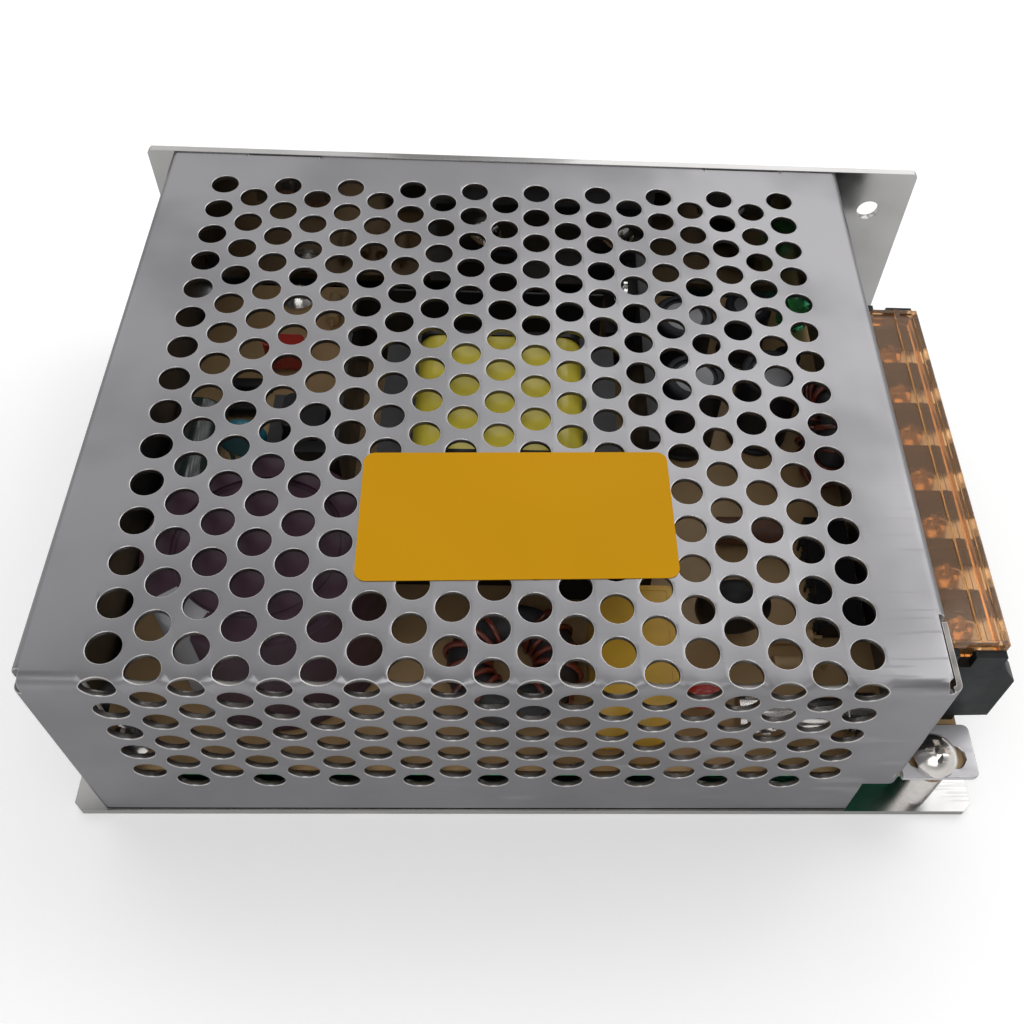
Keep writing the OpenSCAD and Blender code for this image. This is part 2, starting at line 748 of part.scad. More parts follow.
module main_transformer_bobbin()
    color("#1a1a1c") difference() {
        union() {
            coil_tunnel(bobbin_gap + bobbin_t, coil_w);
            for (s = [-1, 1]) {
                translate([trafo_c[0], trafo_c[1] + s * (coil_w - flange_t) / 2, coil_z + coil_h / 2])
                    rotate([90, 0, 0]) linear_extrude(flange_t, center = true)
                        rounded(coil_l - 1, coil_h, 2);
                // Pin rail under the core, tied to the flange
                translate([trafo_c[0], trafo_c[1] + s * (core_l - rail_w) / 2, board_top + rail_h / 2])
                    cube([core_l - 4, rail_w, rail_h], center = true);
                translate([trafo_c[0], trafo_c[1] + s * (coil_w / 2 + 0.2), board_top + rail_h - 0.8])
                    cube([coil_l - 6, 2, 1.6], center = true);
            }
        }
        coil_tunnel(bobbin_gap, 2 * core_l);
    }

module main_transformer_winding()
    color("#c9b13c") difference() {
        translate([trafo_c[0], trafo_c[1], coil_z + coil_h / 2]) rotate([90, 0, 0])
            linear_extrude(coil_w - 2 * flange_t - 0.1, center = true)
                rounded(coil_l - 0.6, coil_h - 0.4, 3.2);
        coil_tunnel(bobbin_gap + bobbin_t + 0.05, 2 * core_l);
        for (s = [-1, 1])
            translate([trafo_c[0], trafo_c[1] + s * (coil_w / 2 + 0.2), board_top + rail_h - 0.8])
                cube([core_l, 2.2, 1.8], center = true);
    }

driver_l = 11.5;
driver_h = 12;
driver_base = 4.4;
driver_leg = 2.2;
driver_coil = driver_l - 2 * driver_leg - seat;

// The driver transformer's core is a square frame that rests on the base, round the winding
module driver_transformer_core()
    color("#2b2b2d") translate([driver_c[0], driver_c[1], board_top + driver_base])
        linear_extrude(4.4) difference() {
            square(driver_l, center = true);
            square(driver_l - 2 * driver_leg, center = true);
        }

module driver_transformer_winding()
    color("#1c1c20") translate([driver_c[0], driver_c[1], board_top]) {
        linear_extrude(driver_base) rounded(driver_l - 1, driver_l - 1, 0.8);
        linear_extrude(driver_h) rounded(driver_coil, driver_coil, 1.5);
    }

// ---- Wall-mounted and heatsink parts --------------------------------------------------------

module insulating_pad()
    color("#77787c") difference() {
        box(pad_x0, pad_x1, wall_in - 0.3, wall_in, wall_part_z - 1, wall_part_z + 21);
        for (x = transistor_x) translate([x, wall_in + 1, clamp_z]) rotate([90, 0, 0])
            cylinder(r = screw_r + 0.1, h = 3);
    }

// A flat three-legged transistor, its metal tab on the plane y = 0 and its body towards -y
module tab_transistor(leg_drop)
    difference() {
        union() {
            translate([-5, -1.3, 0]) cube([10, 1.3, transistor_h - 0.4]);
            translate([-5, -4.5, 0]) cube([10, 3.3, 9.2]);
            for (x = [-2.54, 0, 2.54]) {
                translate([x - 0.4, -2.9, -leg_drop]) cube([0.8, 0.5, leg_drop + lean]);
            }
        }
        translate([0, 1, 13.2]) rotate([90, 0, 0]) cylinder(r = 1.8, h = 3);
    }

module power_transistor(i)
    color("#1c1c1e") translate([transistor_x[i], wall_in - 0.3, wall_part_z]) tab_transistor(2);

module clamp_bar()
    color("#8b8d90") difference() {
        box(pad_x0 + 2, pad_x1 - 2, wall_in - 3.2, wall_in - 1.6, clamp_z - 3.6, clamp_z + 4.6);
        for (x = transistor_x) translate([x, wall_in, clamp_z]) rotate([90, 0, 0])
            cylinder(r = screw_r + 0.1, h = 5);
    }

module clamp_screws()
    color("gainsboro") for (x = transistor_x)
        translate([x, wall_in - 3.2, clamp_z]) rotate([90, 0, 0])
            pan_screw(2.8, 2, tap_r - 0.02, 4.2);

rectifier_y = sink_y1 - 8;

module heatsink()
    color("#2a2b2d") difference() {
        union() {
            box(sink_x, sink_x + sink_t, sink_y0, sink_y1, board_top + 0.6, board_top + 20.6);
            for (y = [sink_y0 + 4, sink_y1 - 4])
                box(sink_x + 0.3, sink_x + 1.3, y - 1, y + 1, board_top, board_top + 1);
        }
        translate([sink_x - 1, rectifier_y, wall_part_z + 13.2]) rotate([0, 90, 0])
            cylinder(r = tap_r, h = 4);
    }

module output_rectifier()
    color("#1c1c1e") translate([sink_x, rectifier_y, wall_part_z]) rotate([0, 0, -90])
        tab_transistor(2);

module rectifier_screw()
    color("gainsboro") translate([sink_x - 1.3, rectifier_y, wall_part_z + 13.2]) rotate([0, -90, 0])
        pan_screw(2.8, 2, tap_r - 0.02, 2.8);

// ---- Output side ----------------------------------------------------------------------------

inductor_ring = 6.2;
inductor_section = 2.3;
inductor_wire = 0.45;

// The output inductor stands on its edge, its axis along X
module place_inductor()
    translate([inductor_c[0], inductor_c[1],
               board_top + inductor_ring + winding_r(inductor_section, inductor_wire)])
        rotate([0, 90, 0]) children();

module output_inductor_core()
    color("#3a3a30") place_inductor() ring_core(inductor_ring, inductor_section);

module output_inductor_winding()
    color("#4a2a18") place_inductor()
        ring_turns(inductor_ring, inductor_section, inductor_wire, 0, 24, 15);

module control_chip()
    color("#1b1b1d") translate([chip_c[0], chip_c[1], board_top]) difference() {
        union() {
            translate([-3.2, -9.8, 0.7]) cube([6.4, 19.6, 3.3]);
            for (s = [-1, 1], i = [-3.5 : 3.5]) {
                translate([s * 3.8 - 0.15, i * 2.54 - 0.3, 0]) cube([0.3, 0.6, 2.2]);
                translate([s * 3.5 - 0.45, i * 2.54 - 0.7, 2]) cube([0.9, 1.4, 0.3]);
            }
        }
        translate([0, 9.8, 3.2]) cylinder(r = 1.1, h = 2);
    }

// A small transistor: round body with one flat side, on three leads
module signal_transistor()
    color("#1b1b1d") translate([right - 7.6, back - 22, board_top]) {
        translate([0, 0, 3]) linear_extrude(4.6) difference() {
            circle(2.3);
            translate([-3, -4.3]) square([6, 3]);
        }
        for (d = [-1.27, 0, 1.27]) translate([d, 0, 0]) cylinder(r = 0.25, h = 3.1);
    }

// A part with a lead at each end, lying along X and turned by turn
module axial_part(x, y, turn, l, r, stand)
    translate([x, y, board_top + stand + r]) rotate([0, 0, turn]) {
        rotate([0, 90, 0]) translate([0, 0, -l / 2]) cylinder(r = r, h = l);
        rotate([0, 90, 0]) translate([0, 0, -l / 2 - 1.5]) cylinder(r = 0.3, h = l + 3);
        for (s = [-1, 1]) translate([s * (l / 2 + 1.3), 0, -stand - r]) cylinder(r = 0.3, h = stand + r);
    }

module signal_resistors()
    color("#c9a36b") {
        for (i = [0 : 3]) axial_part(left + 22.5 + 3.6 * i, back - 7, 90, 6.3, 1.15, 0.2);
        for (i = [0 : 1]) axial_part(right - 12.6, front + 16 + 4.4 * i, 0, 6.3, 1.15, 0.2);
    }

module load_resistor() color("#6b4a34") axial_part(right - 16.7, front + 38, 0, 11, 2.2, 1);

module signal_diodes()
    color("#2a2420") {
        axial_part(left + 10, back - 26, 0, 5, 1.3, 0.2);
        axial_part(left + 10, back - 31, 0, 5, 1.3, 0.2);
        axial_part(right - 11.1, back - 5, 0, 5, 1.3, 0.2);
    }

module status_led()
    color("seagreen") translate([led_c[0], led_c[1], board_top]) {
        translate([0, 0, 3]) cylinder(r = 2.85, h = 1);
        translate([0, 0, 3.9]) cylinder(r = 2.45, h = 4.2);
        translate([0, 0, 8]) intersection() {
            sphere(r = 2.45);
            translate([-3, -3, 0]) cube(6);
        }
        for (x = [-1.27, 1.27]) translate([x, 0, 0]) cylinder(r = 0.3, h = 3.1);
    }

trimmer_h = 5;
rotor_r = 2.2;

module trimmer_body()
    color("royalblue") translate([trimmer_c[0], trimmer_c[1], board_top]) difference() {
        union() {
            translate([0, 0, 0.5]) linear_extrude(trimmer_h - 0.5) rounded(7, 7, 0.5);
            for (p = [[-2.5, -2.5], [2.5, -2.5], [0, 2.5]])
                translate([p[0], p[1], 0]) cylinder(r = 0.6, h = 0.6);
        }
        translate([0, 0, trimmer_h - 1.8]) cylinder(r = rotor_r + 0.08, h = 2);
    }

module trimmer_rotor()
    color("white") translate([trimmer_c[0], trimmer_c[1], board_top + trimmer_h - 1.7]) difference() {
        cylinder(r = rotor_r, h = 2.2);
        translate([-rotor_r - 1, -0.4, 1.2]) cube([2 * rotor_r + 2, 0.8, 2]);
        translate([0.4, 0.9, 1.8]) cylinder(r = 0.35, h = 1);
    }

chassis();
mesh_cover();
cover_label();
tab_screw();
rear_cover_screws();
board_standoffs();
board_screws();
insulation_sheet();
circuit_board();
terminal_block();
terminal_plates();
terminal_screws();
terminal_cover();
fuse_clips();
fuse();
thermistor();
varistor();
x_capacitor();
line_filter_core();
line_filter_windings();
bridge_rectifier();
bulk_capacitor();
main_transformer_core();
main_transformer_bobbin();
main_transformer_winding();
driver_transformer_core();
driver_transformer_winding();
power_transistor(0);  // power_transistor_1
power_transistor(1);  // power_transistor_2
insulating_pad();
clamp_bar();
clamp_screws();
heatsink();
output_rectifier();
rectifier_screw();
output_inductor_core();
output_inductor_winding();
output_capacitor(0);  // output_capacitor_1
output_capacitor(1);  // output_capacitor_2
output_capacitor(2);  // output_capacitor_3
output_capacitor(3);  // output_capacitor_4
supply_capacitor();
film_capacitor();
y_capacitor(0);  // y_capacitor_1
y_capacitor(1);  // y_capacitor_2
control_chip();
signal_transistor();
signal_resistors();
load_resistor();
signal_diodes();
status_led();
trimmer_body();
trimmer_rotor();
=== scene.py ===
# %% [markdown]
# # A mesh case switching power supply
#
# The real object is a bent metal chassis with a circuit board on it. A folded sheet full of round
# holes covers the board, and a row of screw terminals stands at one end under a see-through amber
# cover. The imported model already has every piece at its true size, so this script keeps the simple
# pieces, makes finer ones where an edge or a fold catches the light, and gives each its finish.

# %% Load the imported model
import math

import bmesh
import bpy
import numpy as np
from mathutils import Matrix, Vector


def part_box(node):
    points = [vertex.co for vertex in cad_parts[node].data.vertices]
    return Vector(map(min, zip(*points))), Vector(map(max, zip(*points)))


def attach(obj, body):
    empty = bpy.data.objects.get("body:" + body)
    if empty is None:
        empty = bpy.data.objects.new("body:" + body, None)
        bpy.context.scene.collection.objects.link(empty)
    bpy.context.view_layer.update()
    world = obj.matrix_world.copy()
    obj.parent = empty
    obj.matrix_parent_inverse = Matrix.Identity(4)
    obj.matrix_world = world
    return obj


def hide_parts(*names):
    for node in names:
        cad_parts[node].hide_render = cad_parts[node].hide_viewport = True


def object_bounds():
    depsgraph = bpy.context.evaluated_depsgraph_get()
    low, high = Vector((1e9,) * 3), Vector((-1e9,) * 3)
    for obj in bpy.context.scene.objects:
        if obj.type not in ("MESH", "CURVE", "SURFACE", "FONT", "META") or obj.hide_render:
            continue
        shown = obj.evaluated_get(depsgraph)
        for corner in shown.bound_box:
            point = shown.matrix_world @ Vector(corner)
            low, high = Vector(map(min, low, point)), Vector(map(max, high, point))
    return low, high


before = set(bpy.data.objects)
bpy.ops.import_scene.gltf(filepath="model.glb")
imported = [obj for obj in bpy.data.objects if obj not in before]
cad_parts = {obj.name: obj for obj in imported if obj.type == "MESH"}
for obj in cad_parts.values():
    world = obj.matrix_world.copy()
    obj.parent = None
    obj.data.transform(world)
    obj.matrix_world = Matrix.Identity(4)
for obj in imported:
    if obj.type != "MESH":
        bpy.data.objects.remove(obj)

cad_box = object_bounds()
MM = 0.001
BODY = "supply"


def rounded_box(box):
    """The six numbers of a box, short enough to print."""
    return [round(v, 4) for v in (*box[0], *box[1])]


print("loaded", len(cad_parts), "nodes; box", rounded_box(cad_box))

# %% [markdown]
# ## Camera
#
# The object is seen from above its long front side. A camera close to a small object gives strong
# perspective, so the near edge looks much longer than the far one. The turn is written as three
# angles, and the shift slides the picture without turning the camera.

# %% Camera
CAMERA_AT = (-0.00312, -0.10691, 0.15650)
CAMERA_TURN = (36.357, -3.038, -1.062)
scene = bpy.context.scene
lens = bpy.data.cameras.new("camera")
lens.sensor_width = 36.0
lens.lens = 39.0
lens.shift_x = -0.0616
lens.shift_y = -0.0162
lens.clip_start = 0.005
lens.clip_end = 20.0
camera = bpy.data.objects.new("camera", lens)
camera.location = CAMERA_AT
camera.rotation_euler = [math.radians(a) for a in CAMERA_TURN]
scene.collection.objects.link(camera)
scene.camera = camera
scene.view_settings.view_transform = "Standard"

# %% [markdown]
# ## Floor and light
#
# Sheet metal shows what is around it, so light is arranged by what each face mirrors. The top face
# mirrors the high back towards the camera, where a broad panel and two smaller ones hang, so the
# satin metal shades from grey at the left to pale at the right. The same panels throw the shadow
# forward, so the front face mirrors a shaded floor and reads darker, which shows the fold. A fourth
# panel lights the front from above. The world is a plain sky, bright near the horizon and dim
# overhead, so a metal face seen from any other side still mirrors something pale.
#
# The floor adds a little light of its own, but only where the camera, a mirror or clear plastic
# shows it. It whitens the backdrop and leaves the diffuse light on the object as it is.

# %% Floor and light
FLOOR_HALF = 3.0
FLOOR_GAP = 0.05 * MM
FLOOR_LIFT = 0.20


def plain_material(name, colour, roughness):
    """A material with one colour, for what isn't part of the object."""
    material = bpy.data.materials.new(name)
    material.use_nodes = True
    shader = material.node_tree.nodes["Principled BSDF"]
    shader.inputs["Base Color"].default_value = (*colour, 1.0)
    shader.inputs["Roughness"].default_value = roughness
    return material


corners = [(-1, -1), (1, -1), (1, 1), (-1, 1)]
floor_mesh = bpy.data.meshes.new("floor")
floor_mesh.from_pydata([(x * FLOOR_HALF, y * FLOOR_HALF, 0) for x, y in corners],
                       [], [(0, 1, 2, 3)])
floor = bpy.data.objects.new("floor", floor_mesh)
floor.location.z = cad_box[0][2] - FLOOR_GAP
floor_finish = plain_material("pale_floor", (0.90, 0.90, 0.90), 0.8)
floor_nodes, floor_links = floor_finish.node_tree.nodes, floor_finish.node_tree.links
path = floor_nodes.new("ShaderNodeLightPath")
seen = path.outputs["Is Camera Ray"]
for ray in ("Is Glossy Ray", "Is Transmission Ray"):
    either = floor_nodes.new("ShaderNodeMath")
    either.operation = "MAXIMUM"
    floor_links.new(seen, either.inputs[0])
    floor_links.new(path.outputs[ray], either.inputs[1])
    seen = either.outputs[0]
lift = floor_nodes.new("ShaderNodeMath")
lift.operation = "MULTIPLY"
lift.inputs[1].default_value = FLOOR_LIFT
floor_links.new(seen, lift.inputs[0])
floor_shader = floor_nodes["Principled BSDF"]
floor_shader.inputs["Emission Color"].default_value = (1.0, 1.0, 1.0, 1.0)
floor_links.new(lift.outputs[0], floor_shader.inputs["Emission Strength"])
floor.data.materials.append(floor_finish)
scene.collection.objects.link(floor)

world = bpy.data.worlds.new("studio")
world.use_nodes = True
world.node_tree.nodes["Background"].inputs["Color"].default_value = (1.0, 1.0, 1.0, 1.0)
scene.world = world
sky_nodes, sky_links = world.node_tree.nodes, world.node_tree.links
ray = sky_nodes.new("ShaderNodeTexCoord")
upward = sky_nodes.new("ShaderNodeSeparateXYZ")
sky_links.new(ray.outputs["Generated"], upward.inputs[0])
LOW_SKY, HIGH_SKY = 0.80, 0.25
fade = sky_nodes.new("ShaderNodeMapRange")
fade.interpolation_type = "SMOOTHSTEP"
for socket, amount in (("From Min", 0.40), ("From Max", 0.80),
                       ("To Min", LOW_SKY), ("To Max", HIGH_SKY)):
    fade.inputs[socket].default_value = amount
sky_links.new(upward.outputs["Z"], fade.inputs["Value"])
sky_links.new(fade.outputs["Result"], sky_nodes["Background"].inputs["Strength"])


def panel(name, centre, size, radiance, aim=(0.0, 0.0, 0.02)):
    """A square soft light: power = radiance x pi x area, so its brightness stays as stated."""
    light = bpy.data.lights.new(name, "AREA")
    light.shape = "SQUARE"
    light.size = size
    light.energy = radiance * math.pi * size * size
    lamp = bpy.data.objects.new(name, light)
    lamp.location = centre
    lamp.rotation_euler = (Vector(aim) - Vector(centre)).to_track_quat("-Z", "Y").to_euler()
    scene.collection.objects.link(lamp)


panel("back_panel", (0.27, 0.50, 0.64), 0.64, 1.58)
panel("left_back_panel", (-0.36, 0.54, 0.62), 0.62, 0.75)
panel("right_panel", (0.51, 0.18, 0.57), 0.42, 1.62)
panel("front_panel", (-0.06, -0.27, 0.62), 0.42, 2.1)
print("floor, world and four soft panels")

# %% [markdown]
# ## A short way to write materials
#
# Every finish here is one Principled shader fed by a few patterns. The helper keeps the node tree
# short to write: `node` adds one node with its settings and links, and `value` sets a socket
# directly, so that constants stay on the shader itself.

# %% Material helper


class Finish:
    """One material: its tree, its Principled shader and the object-space coordinates."""

    def __init__(self, name, colour, roughness, metallic=0.0, **sockets):
        self.material = bpy.data.materials.new(name)
        self.material.use_nodes = True
        self.tree = self.material.node_tree
        self.shader = self.tree.nodes["Principled BSDF"]
        self.value("Base Color", (*colour, 1.0))
        self.value("Roughness", roughness)
        self.value("Metallic", metallic)
        for socket, amount in sockets.items():
            self.value(socket.replace("_", " "), amount)
        self.place = self.tree.nodes.new("ShaderNodeTexCoord").outputs["Object"]

    def value(self, socket, amount):
        """Sets a constant on the shader."""
        self.shader.inputs[socket].default_value = amount

    def node(self, kind, settings=None, **links):
        """Adds a node. A link that is a socket is joined, and a plain value is set."""
        made = self.tree.nodes.new(kind)
        for key, setting in (settings or {}).items():
            setattr(made, key, setting)
        for key, given in links.items():
            socket = made.inputs[int(key[1:]) if key[0] == "_" else key.replace("_", " ")]
            if isinstance(given, bpy.types.NodeSocket):
                self.tree.links.new(given, socket)
            else:
                socket.default_value = given
        return made

    def group(self, tree, **links):
        """Places a shared node group."""
        return self.node("ShaderNodeGroup", {"node_tree": tree}, **links)

    def feed(self, socket, output):
        """Joins an output to the shader."""
        self.tree.links.new(output, self.shader.inputs[socket])

    def mix(self, mask, first, second):
        """One of two colours by a mask; either may be a colour or a socket."""
        made = self.node("ShaderNodeMix", {"data_type": "RGBA"}, _0=mask)
        for socket, given in ((made.inputs[6], first), (made.inputs[7], second)):
            if isinstance(given, bpy.types.NodeSocket):
                self.tree.links.new(given, socket)
            else:
                socket.default_value = (*given, 1.0)
        return made.outputs[2]

    def bump(self, height, strength, distance):
        """Turns a height into a bump on the shader's normal."""
        made = self.node("ShaderNodeBump", Height=height, Strength=strength, Distance=distance)
        self.feed("Normal", made.outputs["Normal"])


def scaled(colour, factor):
    """A lighter or darker copy of a colour."""
    return tuple(min(1.0, c * factor) for c in colour)


# %% [markdown]
# ## Shared effects
#
# Three effects come back on many pieces. *Blotches* are large soft clouds, as handling and plating
# leave on metal. *Grain* is a fine tooth, as on moulded plastic. *Scratches* are hair lines at two
# slants, made from waves that a noise breaks up. Each is a node group that puts out a value between
# nought and one, and each material decides what to do with it.

# %% Shader groups


def effect(name, inputs):
    """A new node group with a vector input, number inputs and one output named Mask."""
    tree = bpy.data.node_groups.new(name, "ShaderNodeTree")
    tree.interface.new_socket("Vector", in_out="INPUT", socket_type="NodeSocketVector")
    for key, start in inputs.items():
        number = tree.interface.new_socket(key, in_out="INPUT", socket_type="NodeSocketFloat")
        number.default_value = start
    tree.interface.new_socket("Mask", in_out="OUTPUT", socket_type="NodeSocketFloat")
    return tree, tree.nodes.new("NodeGroupInput"), tree.nodes.new("NodeGroupOutput")


def ramp(tree, source, low, high):
    """Stretches a value so that low becomes nought and high becomes one, with soft ends."""
    made = tree.nodes.new("ShaderNodeMapRange")
    made.interpolation_type = "SMOOTHSTEP"
    made.inputs["From Min"].default_value = low
    made.inputs["From Max"].default_value = high
    tree.links.new(source, made.inputs["Value"])
    return made.outputs["Result"]


def noise(tree, vector, scale, detail):
    """A cloudy value. The scale is a number or a socket."""
    made = tree.nodes.new("ShaderNodeTexNoise")
    made.inputs["Detail"].default_value = detail
    tree.links.new(vector, made.inputs["Vector"])
    if isinstance(scale, bpy.types.NodeSocket):
        tree.links.new(scale, made.inputs["Scale"])
    else:
        made.inputs["Scale"].default_value = scale
    return made.outputs["Fac"]


def joined_values(tree, operation, first, second):
    """One value from two, such as their product or the larger of them."""
    made = tree.nodes.new("ShaderNodeMath")
    made.operation = operation
    tree.links.new(first, made.inputs[0])
    tree.links.new(second, made.inputs[1])
    return made.outputs[0]


blotches, given, out = effect("blotches", {"Scale": 40.0})
cloudy = noise(blotches, given.outputs["Vector"], given.outputs["Scale"], 3.0)
blotches.links.new(ramp(blotches, cloudy, 0.35, 0.68), out.inputs["Mask"])

grain, given, out = effect("grain", {"Scale": 2500.0})
toothy = noise(grain, given.outputs["Vector"], given.outputs["Scale"], 2.0)
grain.links.new(toothy, out.inputs["Mask"])

scratches, given, out = effect("scratches", {"Scale": 60.0, "Stretch": 9.0})
lines = []
for slant in (24.0, -51.0):
    turned = scratches.nodes.new("ShaderNodeMapping")
    turned.inputs["Rotation"].default_value = (0.0, 0.0, math.radians(slant))
    turned.inputs["Scale"].default_value = (1.0, 22.0, 6.0)
    scratches.links.new(given.outputs["Vector"], turned.inputs["Vector"])
    fine = noise(scratches, turned.outputs["Vector"], given.outputs["Scale"], 1.0)
    here = noise(scratches, given.outputs["Vector"], given.outputs["Stretch"], 2.0)
    lines.append(joined_values(scratches, "MULTIPLY", ramp(scratches, fine, 0.66, 0.72),
                               ramp(scratches, here, 0.50, 0.66)))
scratches.links.new(joined_values(scratches, "MAXIMUM", *lines), out.inputs["Mask"])
print("shader groups:", [g.name for g in bpy.data.node_groups])

# %% [markdown]
# ## Metals
#
# The cover is plated sheet with a satin face, soft blotches and a few hair scratches. The chassis
# is the same sheet but polished, so it mirrors the board above it. Screws are bright nickel. The
# metal's own colour hardly changes over a face, and the life is in the roughness, which is where a
# real metal face changes. The cut wall of a punched hole is darker. Its rolled rim is painted
# brighter, a painted highlight round each hole, so each has a finish of its own. The screw tab is
# rougher and is
# painted pale: painted light, for the light that falls on the tilted tab.

# %% Metal finishes


def metal(name, colour, smooth, rough, clouds=45.0, tooth=0.0, change=0.05):
    """Metal whose roughness runs from smooth to rough with blotches, and rises along scratches."""
    finish = Finish(name, colour, rough, metallic=1.0, Specular_Tint=(0.6, 0.6, 0.6, 1.0))
    cloud = finish.group(blotches, Vector=finish.place, Scale=clouds).outputs["Mask"]
    mark = finish.group(scratches, Vector=finish.place).outputs["Mask"]
    level = finish.node("ShaderNodeMapRange", Value=cloud, To_Min=smooth, To_Max=rough)
    worn = finish.node("ShaderNodeMix", {"data_type": "FLOAT"}, _0=mark, _2=level.outputs["Result"],
                       _3=min(1.0, rough + 0.18))
    finish.feed("Roughness", worn.outputs[0])
    tint = finish.mix(cloud, scaled(colour, 1 + change), scaled(colour, 1 - change))
    finish.feed("Base Color", finish.mix(mark, tint, scaled(colour, 1.25)))
    if tooth:
        fine = finish.group(grain, Vector=finish.place, Scale=1400.0).outputs["Mask"]
        finish.bump(fine, tooth, 0.02 * MM)
    return finish.material


satin_sheet = metal("satin_plated_sheet", (0.250, 0.246, 0.255), 0.31, 0.46, tooth=0.25,
                    change=0.07)
polished_sheet = metal("polished_sheet", (0.38, 0.375, 0.37), 0.10, 0.24, clouds=70.0)
punched_edge = metal("punched_edge", (0.18, 0.17, 0.16), 0.34, 0.5, clouds=300.0)
bright_nickel = metal("bright_nickel", (0.72, 0.69, 0.66), 0.16, 0.28, clouds=400.0)
# Painted highlight: the rolled rims are painted brighter than the sheet, for the light they catch.
rim_painted_highlight = metal("rim_painted_highlight", (0.46, 0.45, 0.45), 0.22, 0.34, clouds=200.0)
tinned_plate = metal("tinned_plate", (0.42, 0.39, 0.36), 0.30, 0.42, clouds=300.0)
# Painted light: the tab is the cover's own sheet, painted pale for the light that falls on it.
tab_painted_light = metal("tab_painted_light", (0.60, 0.59, 0.61), 0.50, 0.62, clouds=200.0)
dull_clamp = metal("dull_clamp", (0.16, 0.155, 0.15), 0.38, 0.5, clouds=90.0)

# %% [markdown]
# ## Plastics, coatings and board
#
# Moulded plastic has one colour, a fine tooth and a slight change of gloss. Dipped and sleeved
# parts are smoother and wetter, so they get a clear coat. The board is tan laminate on top and
# green below.

# %% Plastic finishes


def moulded(name, colour, roughness=0.45, tooth=0.2, coat=0.0, clouds=120.0, change=0.12,
            **sockets):
    """Plastic: a fine tooth in the bump and a slow change of tone and gloss."""
    finish = Finish(name, colour, roughness, Coat_Weight=coat, Coat_Roughness=0.12, **sockets)
    cloud = finish.group(blotches, Vector=finish.place, Scale=clouds).outputs["Mask"]
    finish.feed("Base Color", finish.mix(cloud, scaled(colour, 1.0 + change),
                                         scaled(colour, 1.0 - change)))
    level = finish.node("ShaderNodeMapRange", Value=cloud, To_Min=roughness - 0.05,
                        To_Max=roughness + 0.07)
    finish.feed("Roughness", level.outputs["Result"])
    if tooth:
        fine = finish.group(grain, Vector=finish.place, Scale=2200.0).outputs["Mask"]
        finish.bump(fine, tooth, 0.03 * MM)
    return finish.material


block_plastic = moulded("black_moulding", (0.009, 0.011, 0.012), 0.5, Specular_IOR_Level=0.15)
black_part = moulded("black_component", (0.010, 0.010, 0.012), 0.42, Specular_IOR_Level=0.3)
ferrite = moulded("ground_ferrite", (0.035, 0.035, 0.038), 0.5, tooth=0.5)
red_part = moulded("red_dipped", (0.42, 0.030, 0.022), 0.28, tooth=0.0, coat=0.5)
teal_part = moulded("teal_dipped", (0.03, 0.22, 0.30), 0.30, tooth=0.0, coat=0.5)
blue_part = moulded("blue_dipped", (0.02, 0.05, 0.09), 0.30, tooth=0.0, coat=0.3)
yellow_box = moulded("yellow_box", (0.62, 0.36, 0.035), 0.35, tooth=0.1)
tape = moulded("yellow_tape", (0.60, 0.50, 0.045), 0.38, tooth=0.0, coat=0.1)
copper_wire = moulded("enamelled_wire", (0.15, 0.030, 0.018), 0.22, tooth=0.0, coat=0.6, change=0.5)
grey_pad = moulded("grey_pad", (0.11, 0.112, 0.115), 0.6)
resistor_coat = moulded("resistor_coat", (0.48, 0.33, 0.17), 0.4, tooth=0.0)
brown_coat = moulded("brown_coat", (0.13, 0.055, 0.030), 0.45)
black_film = moulded("black_film", (0.014, 0.014, 0.016), 0.35, tooth=0.0)
anodised = moulded("black_anodised", (0.016, 0.016, 0.017), 0.36)
trimmer_blue = moulded("trimmer_blue", (0.035, 0.12, 0.40), 0.4)
white_plastic = moulded("white_plastic", (0.74, 0.73, 0.69), 0.45)
label_film = moulded("yellow_film", (0.50, 0.245, 0.002), 0.5, tooth=0.1, clouds=25.0, change=0.04,
                     Specular_IOR_Level=0.06)

board = Finish("laminate_board", (0.58, 0.37, 0.18), 0.45)
board_low, board_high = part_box("circuit_board")
height = board.node("ShaderNodeSeparateXYZ", Vector=board.place).outputs["Z"]
above = board.node("ShaderNodeMapRange", {"interpolation_type": "STEPPED"}, Value=height,
                   From_Min=board_low.z, From_Max=board_low.z + 0.4 * MM, Steps=1.0)
cloud = board.group(blotches, Vector=board.place, Scale=30.0).outputs["Mask"]
tan = board.mix(cloud, (0.55, 0.36, 0.18), (0.44, 0.29, 0.14))
green = board.mix(cloud, (0.04, 0.38, 0.23), (0.03, 0.30, 0.18))
board.feed("Base Color", board.mix(above.outputs["Result"], green, tan))
board = board.material

# %% [markdown]
# ## See-through pieces
#
# The terminal cover is amber plastic a millimetre thick. Half of the written tint is laid on light
# where it enters and half where it leaves, so a wall of it tints by the written colour. Lamps shine
# through it with the same tint, which lets the screws under it glint. A little haze keeps the dark
# block under it brown. The indicator's lens is green.

# %% See-through finishes


def clear(name, colour, roughness, ior, haze=0.0):
    """Tinted glass that lets the lamps through: what a lamp sends passes it as tinted light.

    Haze is the share of the light that the plastic scatters in its own colour.
    """
    finish = Finish(name, colour, roughness, Transmission_Weight=1.0 - haze, IOR=ior)
    passed = finish.node("ShaderNodeBsdfTransparent", Color=(*[c ** 0.5 for c in colour], 1.0))
    lamp_ray = finish.node("ShaderNodeLightPath").outputs["Is Shadow Ray"]
    either = finish.node("ShaderNodeMixShader", _0=lamp_ray, _1=finish.shader.outputs[0],
                         _2=passed.outputs[0])
    finish.tree.links.new(either.outputs[0], finish.tree.nodes["Material Output"].inputs["Surface"])
    return finish


